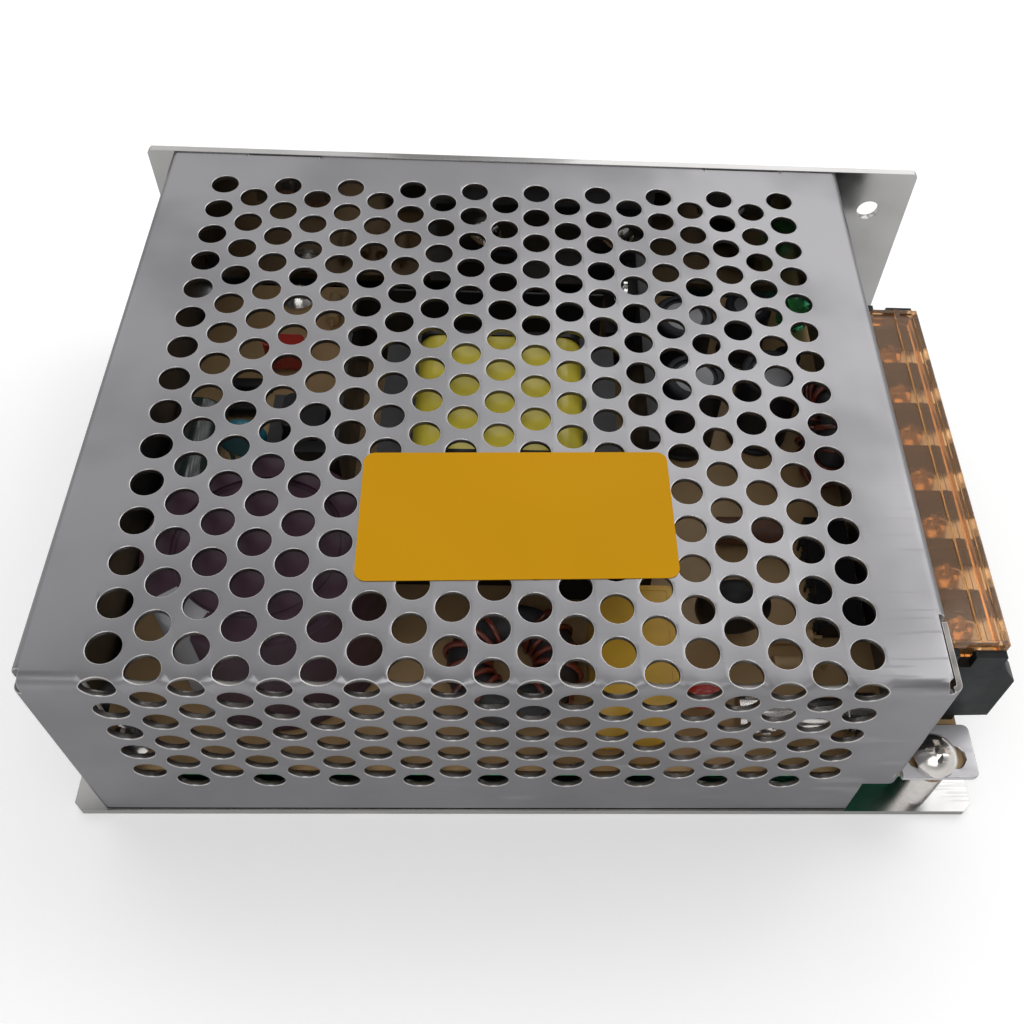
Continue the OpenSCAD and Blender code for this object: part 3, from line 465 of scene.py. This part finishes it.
amber = clear("amber_plastic", (0.63, 0.37, 0.17), 0.06, 1.30, haze=0.07)
smear = amber.group(blotches, Vector=amber.place, Scale=160.0).outputs["Mask"]
gloss = amber.node("ShaderNodeMapRange", Value=smear, To_Min=0.03, To_Max=0.14)
amber.feed("Roughness", gloss.outputs["Result"])
amber = amber.material

led_lens = clear("green_lens", (0.10, 0.80, 0.35), 0.15, 1.45)
dust = led_lens.group(blotches, Vector=led_lens.place, Scale=500.0).outputs["Mask"]
led_lens.feed("Base Color", led_lens.mix(dust, (0.10, 0.80, 0.35), (0.14, 0.70, 0.35)))
led_lens = led_lens.material

# %% [markdown]
# ## Cans with bare tops
#
# An electrolytic capacitor is an aluminium can in a shrunk sleeve. The sleeve stops short of the
# middle of the top, so the material turns to bare metal above the can's rim, inside a circle round
# its own axis. The big can's sleeve covers its whole top, so there only a thin dark ring shows
# through, and the pale stripe of the minus side runs down its wall.

# %% Sleeved cans
RIM_DROP = 1.0 * MM
RING_HALF = 0.12 * MM
STRIPE_GREY = (0.36, 0.36, 0.38)


def compare(finish, kind, first, second):
    """Math on two numbers or sockets."""
    return finish.node("ShaderNodeMath", {"operation": kind}, _0=first, _1=second).outputs[0]


def sleeved_can(name, node, sleeve, bare=None, share=0.62, band=None):
    """Sleeve colour on the wall; on the top bare metal or a raised ring; perhaps a pale band.

    The mask of the bare disc is: distance from the axis under share x radius, and height above
    the can's rim. The band covers the turns between two angles, outside the raised ring.
    """
    low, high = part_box(node)
    radius = (high.x - low.x) / 2
    finish = Finish(name, sleeve, 0.4, Specular_IOR_Level=0.3)
    moved = finish.node("ShaderNodeVectorMath", {"operation": "SUBTRACT"}, _0=finish.place,
                        _1=((low.x + high.x) / 2, (low.y + high.y) / 2, 0.0))
    axes = finish.node("ShaderNodeSeparateXYZ", Vector=moved.outputs[0])
    flat = finish.node("ShaderNodeVectorMath", {"operation": "MULTIPLY"}, _0=moved.outputs[0],
                       _1=(1.0, 1.0, 0.0))
    reach = finish.node("ShaderNodeVectorMath", {"operation": "LENGTH"}, _0=flat.outputs[0])
    reach = reach.outputs["Value"]
    colour = sleeve
    if band:
        turn = compare(finish, "ARCTAN2", axes.outputs["Y"], axes.outputs["X"])
        after = compare(finish, "GREATER_THAN", turn, math.radians(band[0]))
        before = compare(finish, "LESS_THAN", turn, math.radians(band[1]))
        beyond = compare(finish, "GREATER_THAN", reach, radius * (share + 0.02))
        inside = compare(finish, "MULTIPLY", compare(finish, "MULTIPLY", after, before), beyond)
        colour = finish.mix(inside, colour, STRIPE_GREY)
    raised = compare(finish, "GREATER_THAN", axes.outputs["Z"], high.z - RIM_DROP)
    if bare:
        inner = compare(finish, "LESS_THAN", reach, radius * share)
        mask = compare(finish, "MULTIPLY", inner, raised)
        colour = finish.mix(mask, colour, bare)
        finish.feed("Metallic", mask)
    else:
        off = compare(finish, "ABSOLUTE", compare(finish, "SUBTRACT", reach, radius * share), 0.0)
        mask = compare(finish, "MULTIPLY", compare(finish, "LESS_THAN", off, RING_HALF), raised)
        colour = finish.mix(mask, colour, scaled(sleeve, 0.4))
    finish.feed("Base Color", colour)
    cloud = finish.group(blotches, Vector=finish.place, Scale=150.0).outputs["Mask"]
    gloss = finish.node("ShaderNodeMapRange", Value=cloud, To_Min=0.36, To_Max=0.50)
    finish.feed("Roughness", gloss.outputs["Result"])
    return finish.material


supply_can = moulded("grey_green_sleeve", (0.035, 0.048, 0.044), 0.22, tooth=0.0, coat=0.8)
print("materials:", len(bpy.data.materials))

# %% [markdown]
# ## The perforated cover
#
# The real cover is punched flat and then folded, and it is made here in the same order. First a
# flat pattern is laid out in two coordinates: `across`, which runs along X, and `along`, the
# distance from the back edge over the top and down the front. Then one function folds every point
# of the pattern into place. Solidify gives the sheet its thickness and Bevel rolls the punched
# rims, which is what catches the light round each hole.
#
# Every hole owns a cell 5 mm by 6 mm. Neighbouring columns of cells are half a cell out of step, so
# the cells tile the sheet like bricks, and with corners every millimetre their edges meet.

# %% Sizes of the cover
SHEET = 0.8 * MM            # thickness of the metal
SHELF = 14.0 * MM           # length of the base that the cover leaves free for the terminals
FOLD_R = 1.1 * MM           # outer radius of the folds
FOLD_STRETCH = 0.25 * MM    # the front fold takes this much more sheet than two radii
SMALL_BEND = 0.3 * MM       # outer radius of the ears' and the tab's bends
HOLE_R = 2.1 * MM
CELL_U = 5.0 * MM           # a hole's share of the sheet across
CELL_S = 6.0 * MM           # and along
SIDES = 24                  # corners of a hole
PER_SIDE = SIDES // 4
COLUMNS = 19
ROWS = 20
PATTERN_SHIFT = 0.5 * MM    # the pattern lies this far left of the middle
NEAR = MM / 99              # places closer than this are the same
cover_low, cover_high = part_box("mesh_cover")
left_x, right_x = cover_low.x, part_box("chassis")[1].x - SHELF
front_y, back_y = cover_low.y, cover_high.y
bottom_z, top_z = cover_low.z, cover_high.z
first_column = (left_x + right_x) / 2 - COLUMNS // 2 * CELL_U - PATTERN_SHIFT
first_row = 7.8 * MM
flat_run = back_y - front_y - FOLD_R
fold_run = 2 * FOLD_R + FOLD_STRETCH
edge_left, edge_right = left_x + FOLD_R, right_x - FOLD_R


def along_y(y):
    """The distance from the back edge to a place on the top."""
    return back_y - y


def along_z(z):
    """The distance from the back edge, over the fold, to a height on the front wall."""
    return flat_run + fold_run + top_z - FOLD_R - z


def height_at(along):
    """The height on the front wall at a distance along: `along_z` the other way round."""
    return top_z - FOLD_R + flat_run + fold_run - along


FLANGE_FRONT = 10.4 * MM    # the flanges stop this far behind the front
LIP_FRONT = 1.9 * MM        # and the short lip this far
NOTCH_WIDE, NOTCH_HIGH = 4.8 * MM, 10.9 * MM
LEFT_RETURN, RIGHT_RETURN = 2.5 * MM, 0.5 * MM
sheet_end = along_z(bottom_z)
flange_s = along_y(front_y + FLANGE_FRONT)
lip_s = along_y(front_y + LIP_FRONT)
notch_x, notch_s = right_x - NOTCH_WIDE, along_z(NOTCH_HIGH)
left_return_s, right_return_z = along_z(top_z - LEFT_RETURN), top_z - RIGHT_RETURN

# %% Laying out the flat pattern


def quads_of(p):
    """Quads between neighbours in an array of corners (i, j)."""
    return np.stack([p[:-1, :-1], p[1:, :-1], p[1:, 1:], p[:-1, 1:]], 2).reshape(-1, 4, 2)


def grid(us, ss):
    """Quads between the lines us and ss: corner (i, j) is (us[i], ss[j])."""
    return quads_of(np.stack(np.meshgrid(us, ss, indexing="ij"), -1))


def strip(u0, lines0, u1, lines1, steps):
    """Quads from the stops lines0 at u0 to the stops lines1 at u1, straight between them."""
    share = np.linspace(0.0, 1.0, steps + 1)[:, None]
    s = lines0 * (1 - share) + lines1 * share
    return quads_of(np.stack([np.broadcast_to(u0 + (u1 - u0) * share, s.shape), s], -1))


def ring(inner, outer):
    """Quads between two closed outlines with as many points: corner i joins corner i + 1."""
    corners = [inner, np.roll(inner, -1, -2), np.roll(outer, -1, -2), outer]
    return np.stack(corners, -2).reshape(-1, 4, 2)


def rectangle(us, left, right):
    """A closed outline, anticlockwise from its low corner, with stops at given places."""
    bottom = np.stack([us, np.full(len(us), left[0])], -1)
    up = np.stack([np.full(len(right), us[-1]), right], -1)
    top = np.stack([us[::-1], np.full(len(us), left[-1])], -1)
    down = np.stack([np.full(len(left), us[0]), left[::-1]], -1)
    return np.concatenate([bottom[:-1], up[:-1], top[:-1], down[:-1]])


def punched(centres):
    """The cell of each hole: a circle of 24 points inside a rectangle of 24 points."""
    ss = np.linspace(-CELL_S / 2, CELL_S / 2, PER_SIDE + 1)
    outer = rectangle(np.linspace(-CELL_U / 2, CELL_U / 2, PER_SIDE + 1), ss, ss)
    turn = math.radians(225) + np.arange(SIDES) * 2 * math.pi / SIDES
    inner = HOLE_R * np.stack([np.cos(turn), np.sin(turn)], -1)
    return ring(centres[:, None] + inner, centres[:, None] + outer)


def snapped(lines, *wanted):
    """A copy of the lines in which the nearest line to each wanted place moves onto it."""
    lines = lines.copy()
    for place in wanted:
        lines[np.argmin(abs(lines - place))] = place
    return lines


def between(lines, start, stop):
    """The lines from start to stop, both included."""
    return lines[(lines > start - NEAR) & (lines < stop + NEAR)]


lattice_left = first_column - CELL_U / 2
lattice_right = lattice_left + COLUMNS * CELL_U
lattice_back = first_row - CELL_S / 2
even_front = lattice_back + ROWS * CELL_S
odd_front = even_front + CELL_S / 2
even = np.array([(first_column + k * CELL_U, first_row + j * CELL_S)
                 for k in range(0, COLUMNS, 2) for j in range(ROWS)])
odd = np.array([(first_column + k * CELL_U, first_row + (j + 0.5) * CELL_S)
                for k in range(1, COLUMNS, 2) for j in range(ROWS)])
lines_u = lattice_left + np.arange(PER_SIDE * COLUMNS + 1) * CELL_U / PER_SIDE
lines_s = np.concatenate([[0.0, FOLD_R], np.arange(lattice_back, odd_front + MM / 2, MM),
                          np.linspace(odd_front, sheet_end, 5)[1:]])
RELIEF = 0.6 * MM           # the corner between the two right folds is cut off this far
relief_x, relief_s = edge_right - RELIEF, flat_run - RELIEF
wall_s = flat_run + fold_run
lines_left = snapped(lines_s, flange_s, lip_s, flat_run, wall_s, left_return_s)
lines_right = snapped(lines_s, flange_s, relief_s, flat_run, wall_s, notch_s)
print("holes:", len(even) + len(odd))

# %% [markdown]
# Folding is one formula: up to the fold a point lies on the top, in the fold it goes round a
# quarter circle, and past it it hangs on the front wall. Flanges use the same formula turned round:
# they leave an edge of the sheet, go round a quarter circle and carry on at right angles.

# %% Folding the pattern


def quarter(run, length):
    """Splits a run into (sine, 1 - cosine, rest) of a fold of that length and radius FOLD_R."""
    turn = np.clip(run / length, 0.0, 1.0) * math.pi / 2
    return FOLD_R * np.sin(turn), FOLD_R * (1 - np.cos(turn)), np.maximum(run - length, 0.0)


def fold_main(p):
    """(across, along) to a place on the top, the fold or the front wall."""
    forward, down, rest = quarter(p[..., 1] - flat_run, fold_run)
    y = back_y - np.minimum(p[..., 1], flat_run) - forward
    return np.stack([p[..., 0], y, top_z - down - rest], -1)


def fold_end(side):
    """(run past the edge, along) to a flange that hangs from one end of the top."""
    edge = edge_left if side < 0 else edge_right

    def fold(p):
        sideways, down, rest = quarter(p[..., 0], 2 * FOLD_R)
        return np.stack([edge + side * sideways, back_y - p[..., 1], top_z - down - rest], -1)
    return fold


def fold_return(side):
    """(run past the edge, height) to a flange turned back from one end of the front wall."""
    edge = edge_left if side < 0 else edge_right

    def fold(p):
        sideways, back, rest = quarter(p[..., 0], 2 * FOLD_R)
        return np.stack([edge + side * sideways, front_y + back + rest, p[..., 1]], -1)
    return fold


def fold_ear(p):
    """(across, run back from FOLD_R before the edge) to an ear: straight back, then down."""
    straight = FOLD_R - SMALL_BEND
    turn = np.clip((p[..., 1] - straight) / (2 * SMALL_BEND), 0.0, 1.0) * math.pi / 2
    rest = np.maximum(p[..., 1] - straight - 2 * SMALL_BEND, 0.0)
    y = back_y - FOLD_R + np.minimum(p[..., 1], straight) + SMALL_BEND * np.sin(turn)
    return np.stack([p[..., 0], y, top_z - SMALL_BEND * (1 - np.cos(turn)) - rest], -1)


tab_top = board_high.z + SHEET


def fold_tab(p):
    """(run past the flange's foot, y) to the tab: a small inward quarter circle, then flat."""
    turn = np.clip(p[..., 0] / SMALL_BEND, 0.0, 1.0) * math.pi / 2
    rest = np.maximum(p[..., 0] - SMALL_BEND, 0.0)
    x = right_x + SMALL_BEND * (1 - np.cos(turn)) + rest
    return np.stack([x, p[..., 1], tab_top + SMALL_BEND * (1 - np.sin(turn))], -1)


# %% The top and the front wall
EAR_HALF = 6 * MM
EAR_LONG = 9 * MM
LEFT_EAR, RIGHT_EAR = 18.5 * MM, 16.5 * MM      # from the ends of the top
ears = [(np.argmin(abs(lines_u - x + EAR_HALF)), np.argmin(abs(lines_u - x - EAR_HALF)))
        for x in (left_x + LEFT_EAR, right_x - RIGHT_EAR)]
back_lines = lines_s[lines_s < lattice_back + MM / 2]
flat = [grid(lines_u, back_lines[1:]), punched(even), punched(odd),
        grid(lines_u, lines_s[lines_s > odd_front - MM / 2])]
for start, stop in ((0, ears[0][0]), (ears[0][1], ears[1][0]), (ears[1][1], len(lines_u) - 1)):
    flat.append(grid(lines_u[start:stop + 1], back_lines[:2]))
half_cell = np.arange(4) * MM
for k in range(COLUMNS):
    start = lattice_back if k % 2 else even_front
    flat.append(grid(lines_u[PER_SIDE * k:PER_SIDE * (k + 1) + 1], start + half_cell))

flat.append(strip(edge_left, lines_left, lattice_left, lines_s, 3))
flat.append(strip(lattice_right, lines_s, notch_x, lines_right, 2))
flat.append(grid(np.linspace(notch_x, relief_x, 3), between(lines_right, 0, notch_s)))
flat.append(grid([relief_x, edge_right], between(lines_right, 0, relief_s)))
flat.append(grid([relief_x, edge_right], between(lines_right, wall_s, notch_s)))
cut = np.array([(relief_x, relief_s), (edge_right, relief_s),
                ((relief_x + edge_right) / 2, (relief_s + flat_run) / 2), (relief_x, flat_run)])
flat.append(cut[None])
sheets = [fold_main(np.concatenate(flat))]

# %% Flanges, lip and ears
BEND = 2 * FOLD_R           # length of sheet that a flange's bend takes
WALL_GAP = 0.3 * MM
BOARD_GAP = 1.2 * MM        # the right flange ends this far above the board
LIP_LONG = 1.1 * MM
RETURN_LONG = 9.6 * MM
TAB_WIDE = 8.0 * MM
bend_runs = np.linspace(0, BEND, 5)


def flange(side, lines, foot_z):
    """A flange from the top down to a height; below its bend it stands WALL_GAP off the wall."""
    runs = np.concatenate([bend_runs, [4 * MM, BEND + top_z - FOLD_R - foot_z]])
    p = grid(runs, lines)
    below = p[..., 0] > 2.5 * FOLD_R
    p[..., 1] = np.where(below, np.maximum(p[..., 1], WALL_GAP), p[..., 1])
    return fold_end(side)(p)


sheets.append(flange(-1, between(lines_left, 0, flange_s), bottom_z))
sheets.append(flange(1, between(lines_right, 0, flange_s), board_high.z + BOARD_GAP))
lip_runs = np.append(bend_runs, BEND + LIP_LONG)
sheets.append(fold_end(-1)(grid(lip_runs, between(lines_left, flange_s, lip_s))))

tab_back = front_y + TAB_WIDE
tab_foot = tab_top + SMALL_BEND
tab_steps = np.linspace(0, tab_back - front_y - FOLD_R, 5)
past_bend = BEND + np.append(tab_steps, RETURN_LONG - FOLD_R)
left_heights = height_at(between(lines_left, left_return_s, sheet_end))
sheets.append(fold_return(-1)(grid(np.append(bend_runs, past_bend[1:]), left_heights)))
right_heights = np.append(right_return_z, height_at(between(lines_right, wall_s, notch_s)))
right_heights = snapped(right_heights, tab_foot)
sheets.append(fold_return(1)(grid(bend_runs, right_heights)))
sheets.append(fold_return(1)(grid(past_bend, right_heights[right_heights > tab_foot - NEAR])))

for first, last in ears:
    past = FOLD_R - SMALL_BEND + 2 * SMALL_BEND * np.linspace(0, 1, 4)
    drops = np.concatenate([[0.0], past, [past[-1] + EAR_LONG - SMALL_BEND]])
    sheets.append(fold_ear(grid(lines_u[first:last + 1], drops)))

# %% The tab and its slot
SLOT_R = 1.7 * MM
SLOT_START, SLOT_STOP = 53.5 * MM - SLOT_R, 60.3 * MM   # along X
SLOT_IN = 3.1 * MM          # the slot's middle line lies this far behind the front
TAB_CORNER = 1.0 * MM
TINY = 1e-9
slot_low, slot_high = SLOT_START - right_x, SLOT_STOP - right_x
slot_middle = np.array([(slot_low + slot_high) / 2, front_y + SLOT_IN])
slot_half = (slot_high - slot_low) / 2 - SLOT_R
tab_ys = front_y + FOLD_R + tab_steps
sheets.append(fold_tab(grid(np.linspace(0, SMALL_BEND, 4), tab_ys)))
steps = np.array([0.0, 0.35, 0.7, 1.0])
tab_end = cover_high.x - right_x
tab_us = np.concatenate([np.linspace(SMALL_BEND, tab_end - TAB_CORNER, 8)[:-1],
                         tab_end - TAB_CORNER * (1 - steps)])
tab_side = np.concatenate([front_y + TAB_CORNER * (1 - steps[::-1]),
                           np.linspace(front_y + TAB_CORNER, tab_back - TAB_CORNER, 5)[1:-1],
                           tab_back - TAB_CORNER * (1 - steps)])
outer = rectangle(tab_us, np.append(front_y, tab_ys), tab_side)
pivot = np.stack([np.full(len(outer), tab_end - TAB_CORNER),
                  np.clip(outer[:, 1], front_y + TAB_CORNER, tab_back - TAB_CORNER)], -1)
away = outer - pivot
in_corner = (away[:, 0] > 0) & (abs(away[:, 1]) > 0)
length = np.linalg.norm(away, axis=1, keepdims=True)
arc = pivot + away / np.maximum(length, TINY) * TAB_CORNER
outer = np.where(in_corner[:, None], arc, outer)
aim = outer - slot_middle
aim /= np.linalg.norm(aim, axis=1, keepdims=True)
cos, sin = abs(aim[:, 0]), abs(aim[:, 1])
to_side = SLOT_R / np.maximum(sin, TINY)
to_round = slot_half * cos + np.sqrt(np.maximum(SLOT_R ** 2 - (slot_half * sin) ** 2, 0))
reach = np.where(to_side * cos < slot_half, to_side, to_round)
sheets.append(fold_tab(ring(slot_middle + aim * reach[:, None], outer)))
print("sheets of the cover:", len(sheets))

# %% [markdown]
# The quads are cut loose from each other, so the last step joins the corners that lie in one place.

# %% From quads to a piece


WELD = 1e-6
RIM_SLOT, RIM_HIGHLIGHT_SLOT, LIT_TAB_SLOT = 1, 2, 3


def new_piece(mesh, material, node, body=BODY):
    """An object for a mesh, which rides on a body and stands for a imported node."""
    mesh.materials.clear()
    mesh.materials.append(material)
    mesh.shade_smooth()
    made = bpy.data.objects.new(mesh.name, mesh)
    scene.collection.objects.link(made)
    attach(made, body)
    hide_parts(node)
    return made


def joined(quads):
    """Welds quads (n, 4, 3): corners within a micrometre become one vertex."""
    corners = quads.reshape(-1, 3)
    _, first, index = np.unique(np.round(corners / WELD).astype(np.int64), axis=0,
                                return_index=True, return_inverse=True)
    return corners[first], index.reshape(-1, 4)


def face_out(made, towards):
    """Turns all normals the same way, so that the highest face looks towards a direction."""
    work = bmesh.new()
    work.from_mesh(made.data)
    bmesh.ops.recalc_face_normals(work, faces=work.faces)
    work.faces.ensure_lookup_table()
    highest = max(work.faces, key=lambda f: f.calc_center_median().z)
    if highest.normal.dot(Vector(towards)) < 0:
        bmesh.ops.reverse_faces(work, faces=work.faces)
    work.to_mesh(made.data)
    work.free()


def rounded_edges(made, width, angle):
    """Rounds the sharp edges, and lets the flat faces keep flat shading."""
    bevel = made.modifiers.new("rounded", "BEVEL")
    bevel.width = width
    bevel.segments = 2
    bevel.limit_method = "ANGLE"
    bevel.angle_limit = math.radians(angle)
    bevel.miter_outer = "MITER_ARC"
    weighted = made.modifiers.new("flat_faces", "WEIGHTED_NORMAL")
    weighted.weight = 80
    weighted.keep_sharp = False


points, quads = joined(np.concatenate(sheets))
cover_mesh = bpy.data.meshes.new("perforated_cover")
cover_mesh.from_pydata(points.tolist(), [], quads.tolist())
cover = new_piece(cover_mesh, satin_sheet, "mesh_cover")
for finish in (punched_edge, rim_painted_highlight, tab_painted_light):
    cover_mesh.materials.append(finish)
face_out(cover, (0, 0, 1))
# Faces on the tab take the pale finish, which is painted light.
on_tab = points[quads].mean(axis=1)[:, 0] > right_x + SMALL_BEND
cover_mesh.polygons.foreach_set("material_index", on_tab.astype(np.int32) * LIT_TAB_SLOT)
thick = cover.modifiers.new("sheet", "SOLIDIFY")
thick.thickness = SHEET
thick.offset = -1.0
thick.use_even_offset = True
thick.material_offset_rim = RIM_SLOT
rounded_edges(cover, 0.13 * MM, 50.0)
# The rolled rims take the brighter finish: a painted highlight round each hole.
cover.modifiers["rounded"].material = RIM_HIGHLIGHT_SLOT
print("cover:", len(points), "points,", len(quads), "quads before it is thickened")

# %% [markdown]
# ## Softened pieces
#
# Nothing real has a knife edge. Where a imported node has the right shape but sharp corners, a copy
# has its loose triangles joined and its flat faces made whole, and its edges are rounded a little.

# %% Softened copies


def softened(node, name, width, material, body=BODY):
    """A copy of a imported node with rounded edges, which stands for the node."""
    work = bmesh.new()
    work.from_mesh(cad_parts[node].data)
    bmesh.ops.remove_doubles(work, verts=work.verts, dist=WELD / 2)
    bmesh.ops.dissolve_limit(work, angle_limit=math.radians(1.0), verts=work.verts,
                             edges=work.edges, use_dissolve_boundaries=False)
    mesh = bpy.data.meshes.new(name)
    work.to_mesh(mesh)
    work.free()
    rounded_edges(new_piece(mesh, material, node, body), width, 40.0)
    print("softened", node, "into", name)


softened("chassis", "bent_chassis", 0.15 * MM, polished_sheet)
softened("terminal_block", "moulded_block", 0.2 * MM, block_plastic)
softened("terminal_cover", "amber_cover", 0.15 * MM, amber, "terminal_cover")

# %% [markdown]
# ## Every other node
#
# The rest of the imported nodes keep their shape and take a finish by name.

# %% Finishes by node
FINISHED = (
    (bright_nickel, ("tab_screw", "rear_cover_screws", "board_standoffs", "board_screws",
                     "terminal_screws", "fuse_clips", "clamp_screws", "rectifier_screw", "fuse")),
    (tinned_plate, ("terminal_plates",)),
    (dull_clamp, ("clamp_bar",)),
    (anodised, ("heatsink",)),
    (board, ("circuit_board",)),
    (label_film, ("cover_label",)),
    (black_film, ("insulation_sheet",)),
    (grey_pad, ("insulating_pad",)),
    (ferrite, ("line_filter_core", "output_inductor_core", "main_transformer_core",
               "driver_transformer_core")),
    (copper_wire, ("line_filter_windings", "output_inductor_winding")),
    (tape, ("main_transformer_winding",)),
    (black_part, ("thermistor", "bridge_rectifier", "main_transformer_bobbin",
                  "driver_transformer_winding", "power_transistor_1", "power_transistor_2",
                  "output_rectifier", "control_chip", "signal_transistor", "signal_diodes")),
    (red_part, ("varistor", "film_capacitor")),
    (teal_part, ("y_capacitor_1",)),
    (blue_part, ("y_capacitor_2",)),
    (yellow_box, ("x_capacitor",)),
    (supply_can, ("supply_capacitor",)),
    (resistor_coat, ("signal_resistors",)),
    (brown_coat, ("load_resistor",)),
    (led_lens, ("status_led",)),
    (trimmer_blue, ("trimmer_body",)),
    (white_plastic, ("trimmer_rotor",)),
)
finish_of = {node: material for material, nodes in FINISHED for node in nodes}
for number in (1, 2, 3, 4):
    node = f"output_capacitor_{number}"
    finish_of[node] = sleeved_can(f"can_{number}", node, (0.016, 0.017, 0.022), (0.27, 0.27, 0.28))
finish_of["bulk_capacitor"] = sleeved_can("bulk_can", "bulk_capacitor", (0.055, 0.026, 0.040),
                                          share=0.70, band=(-145.0, -115.0))
for node, material in finish_of.items():
    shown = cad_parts[node]
    shown.data.materials.clear()
    shown.data.materials.append(material)
print("finished", len(finish_of), "packed nodes")
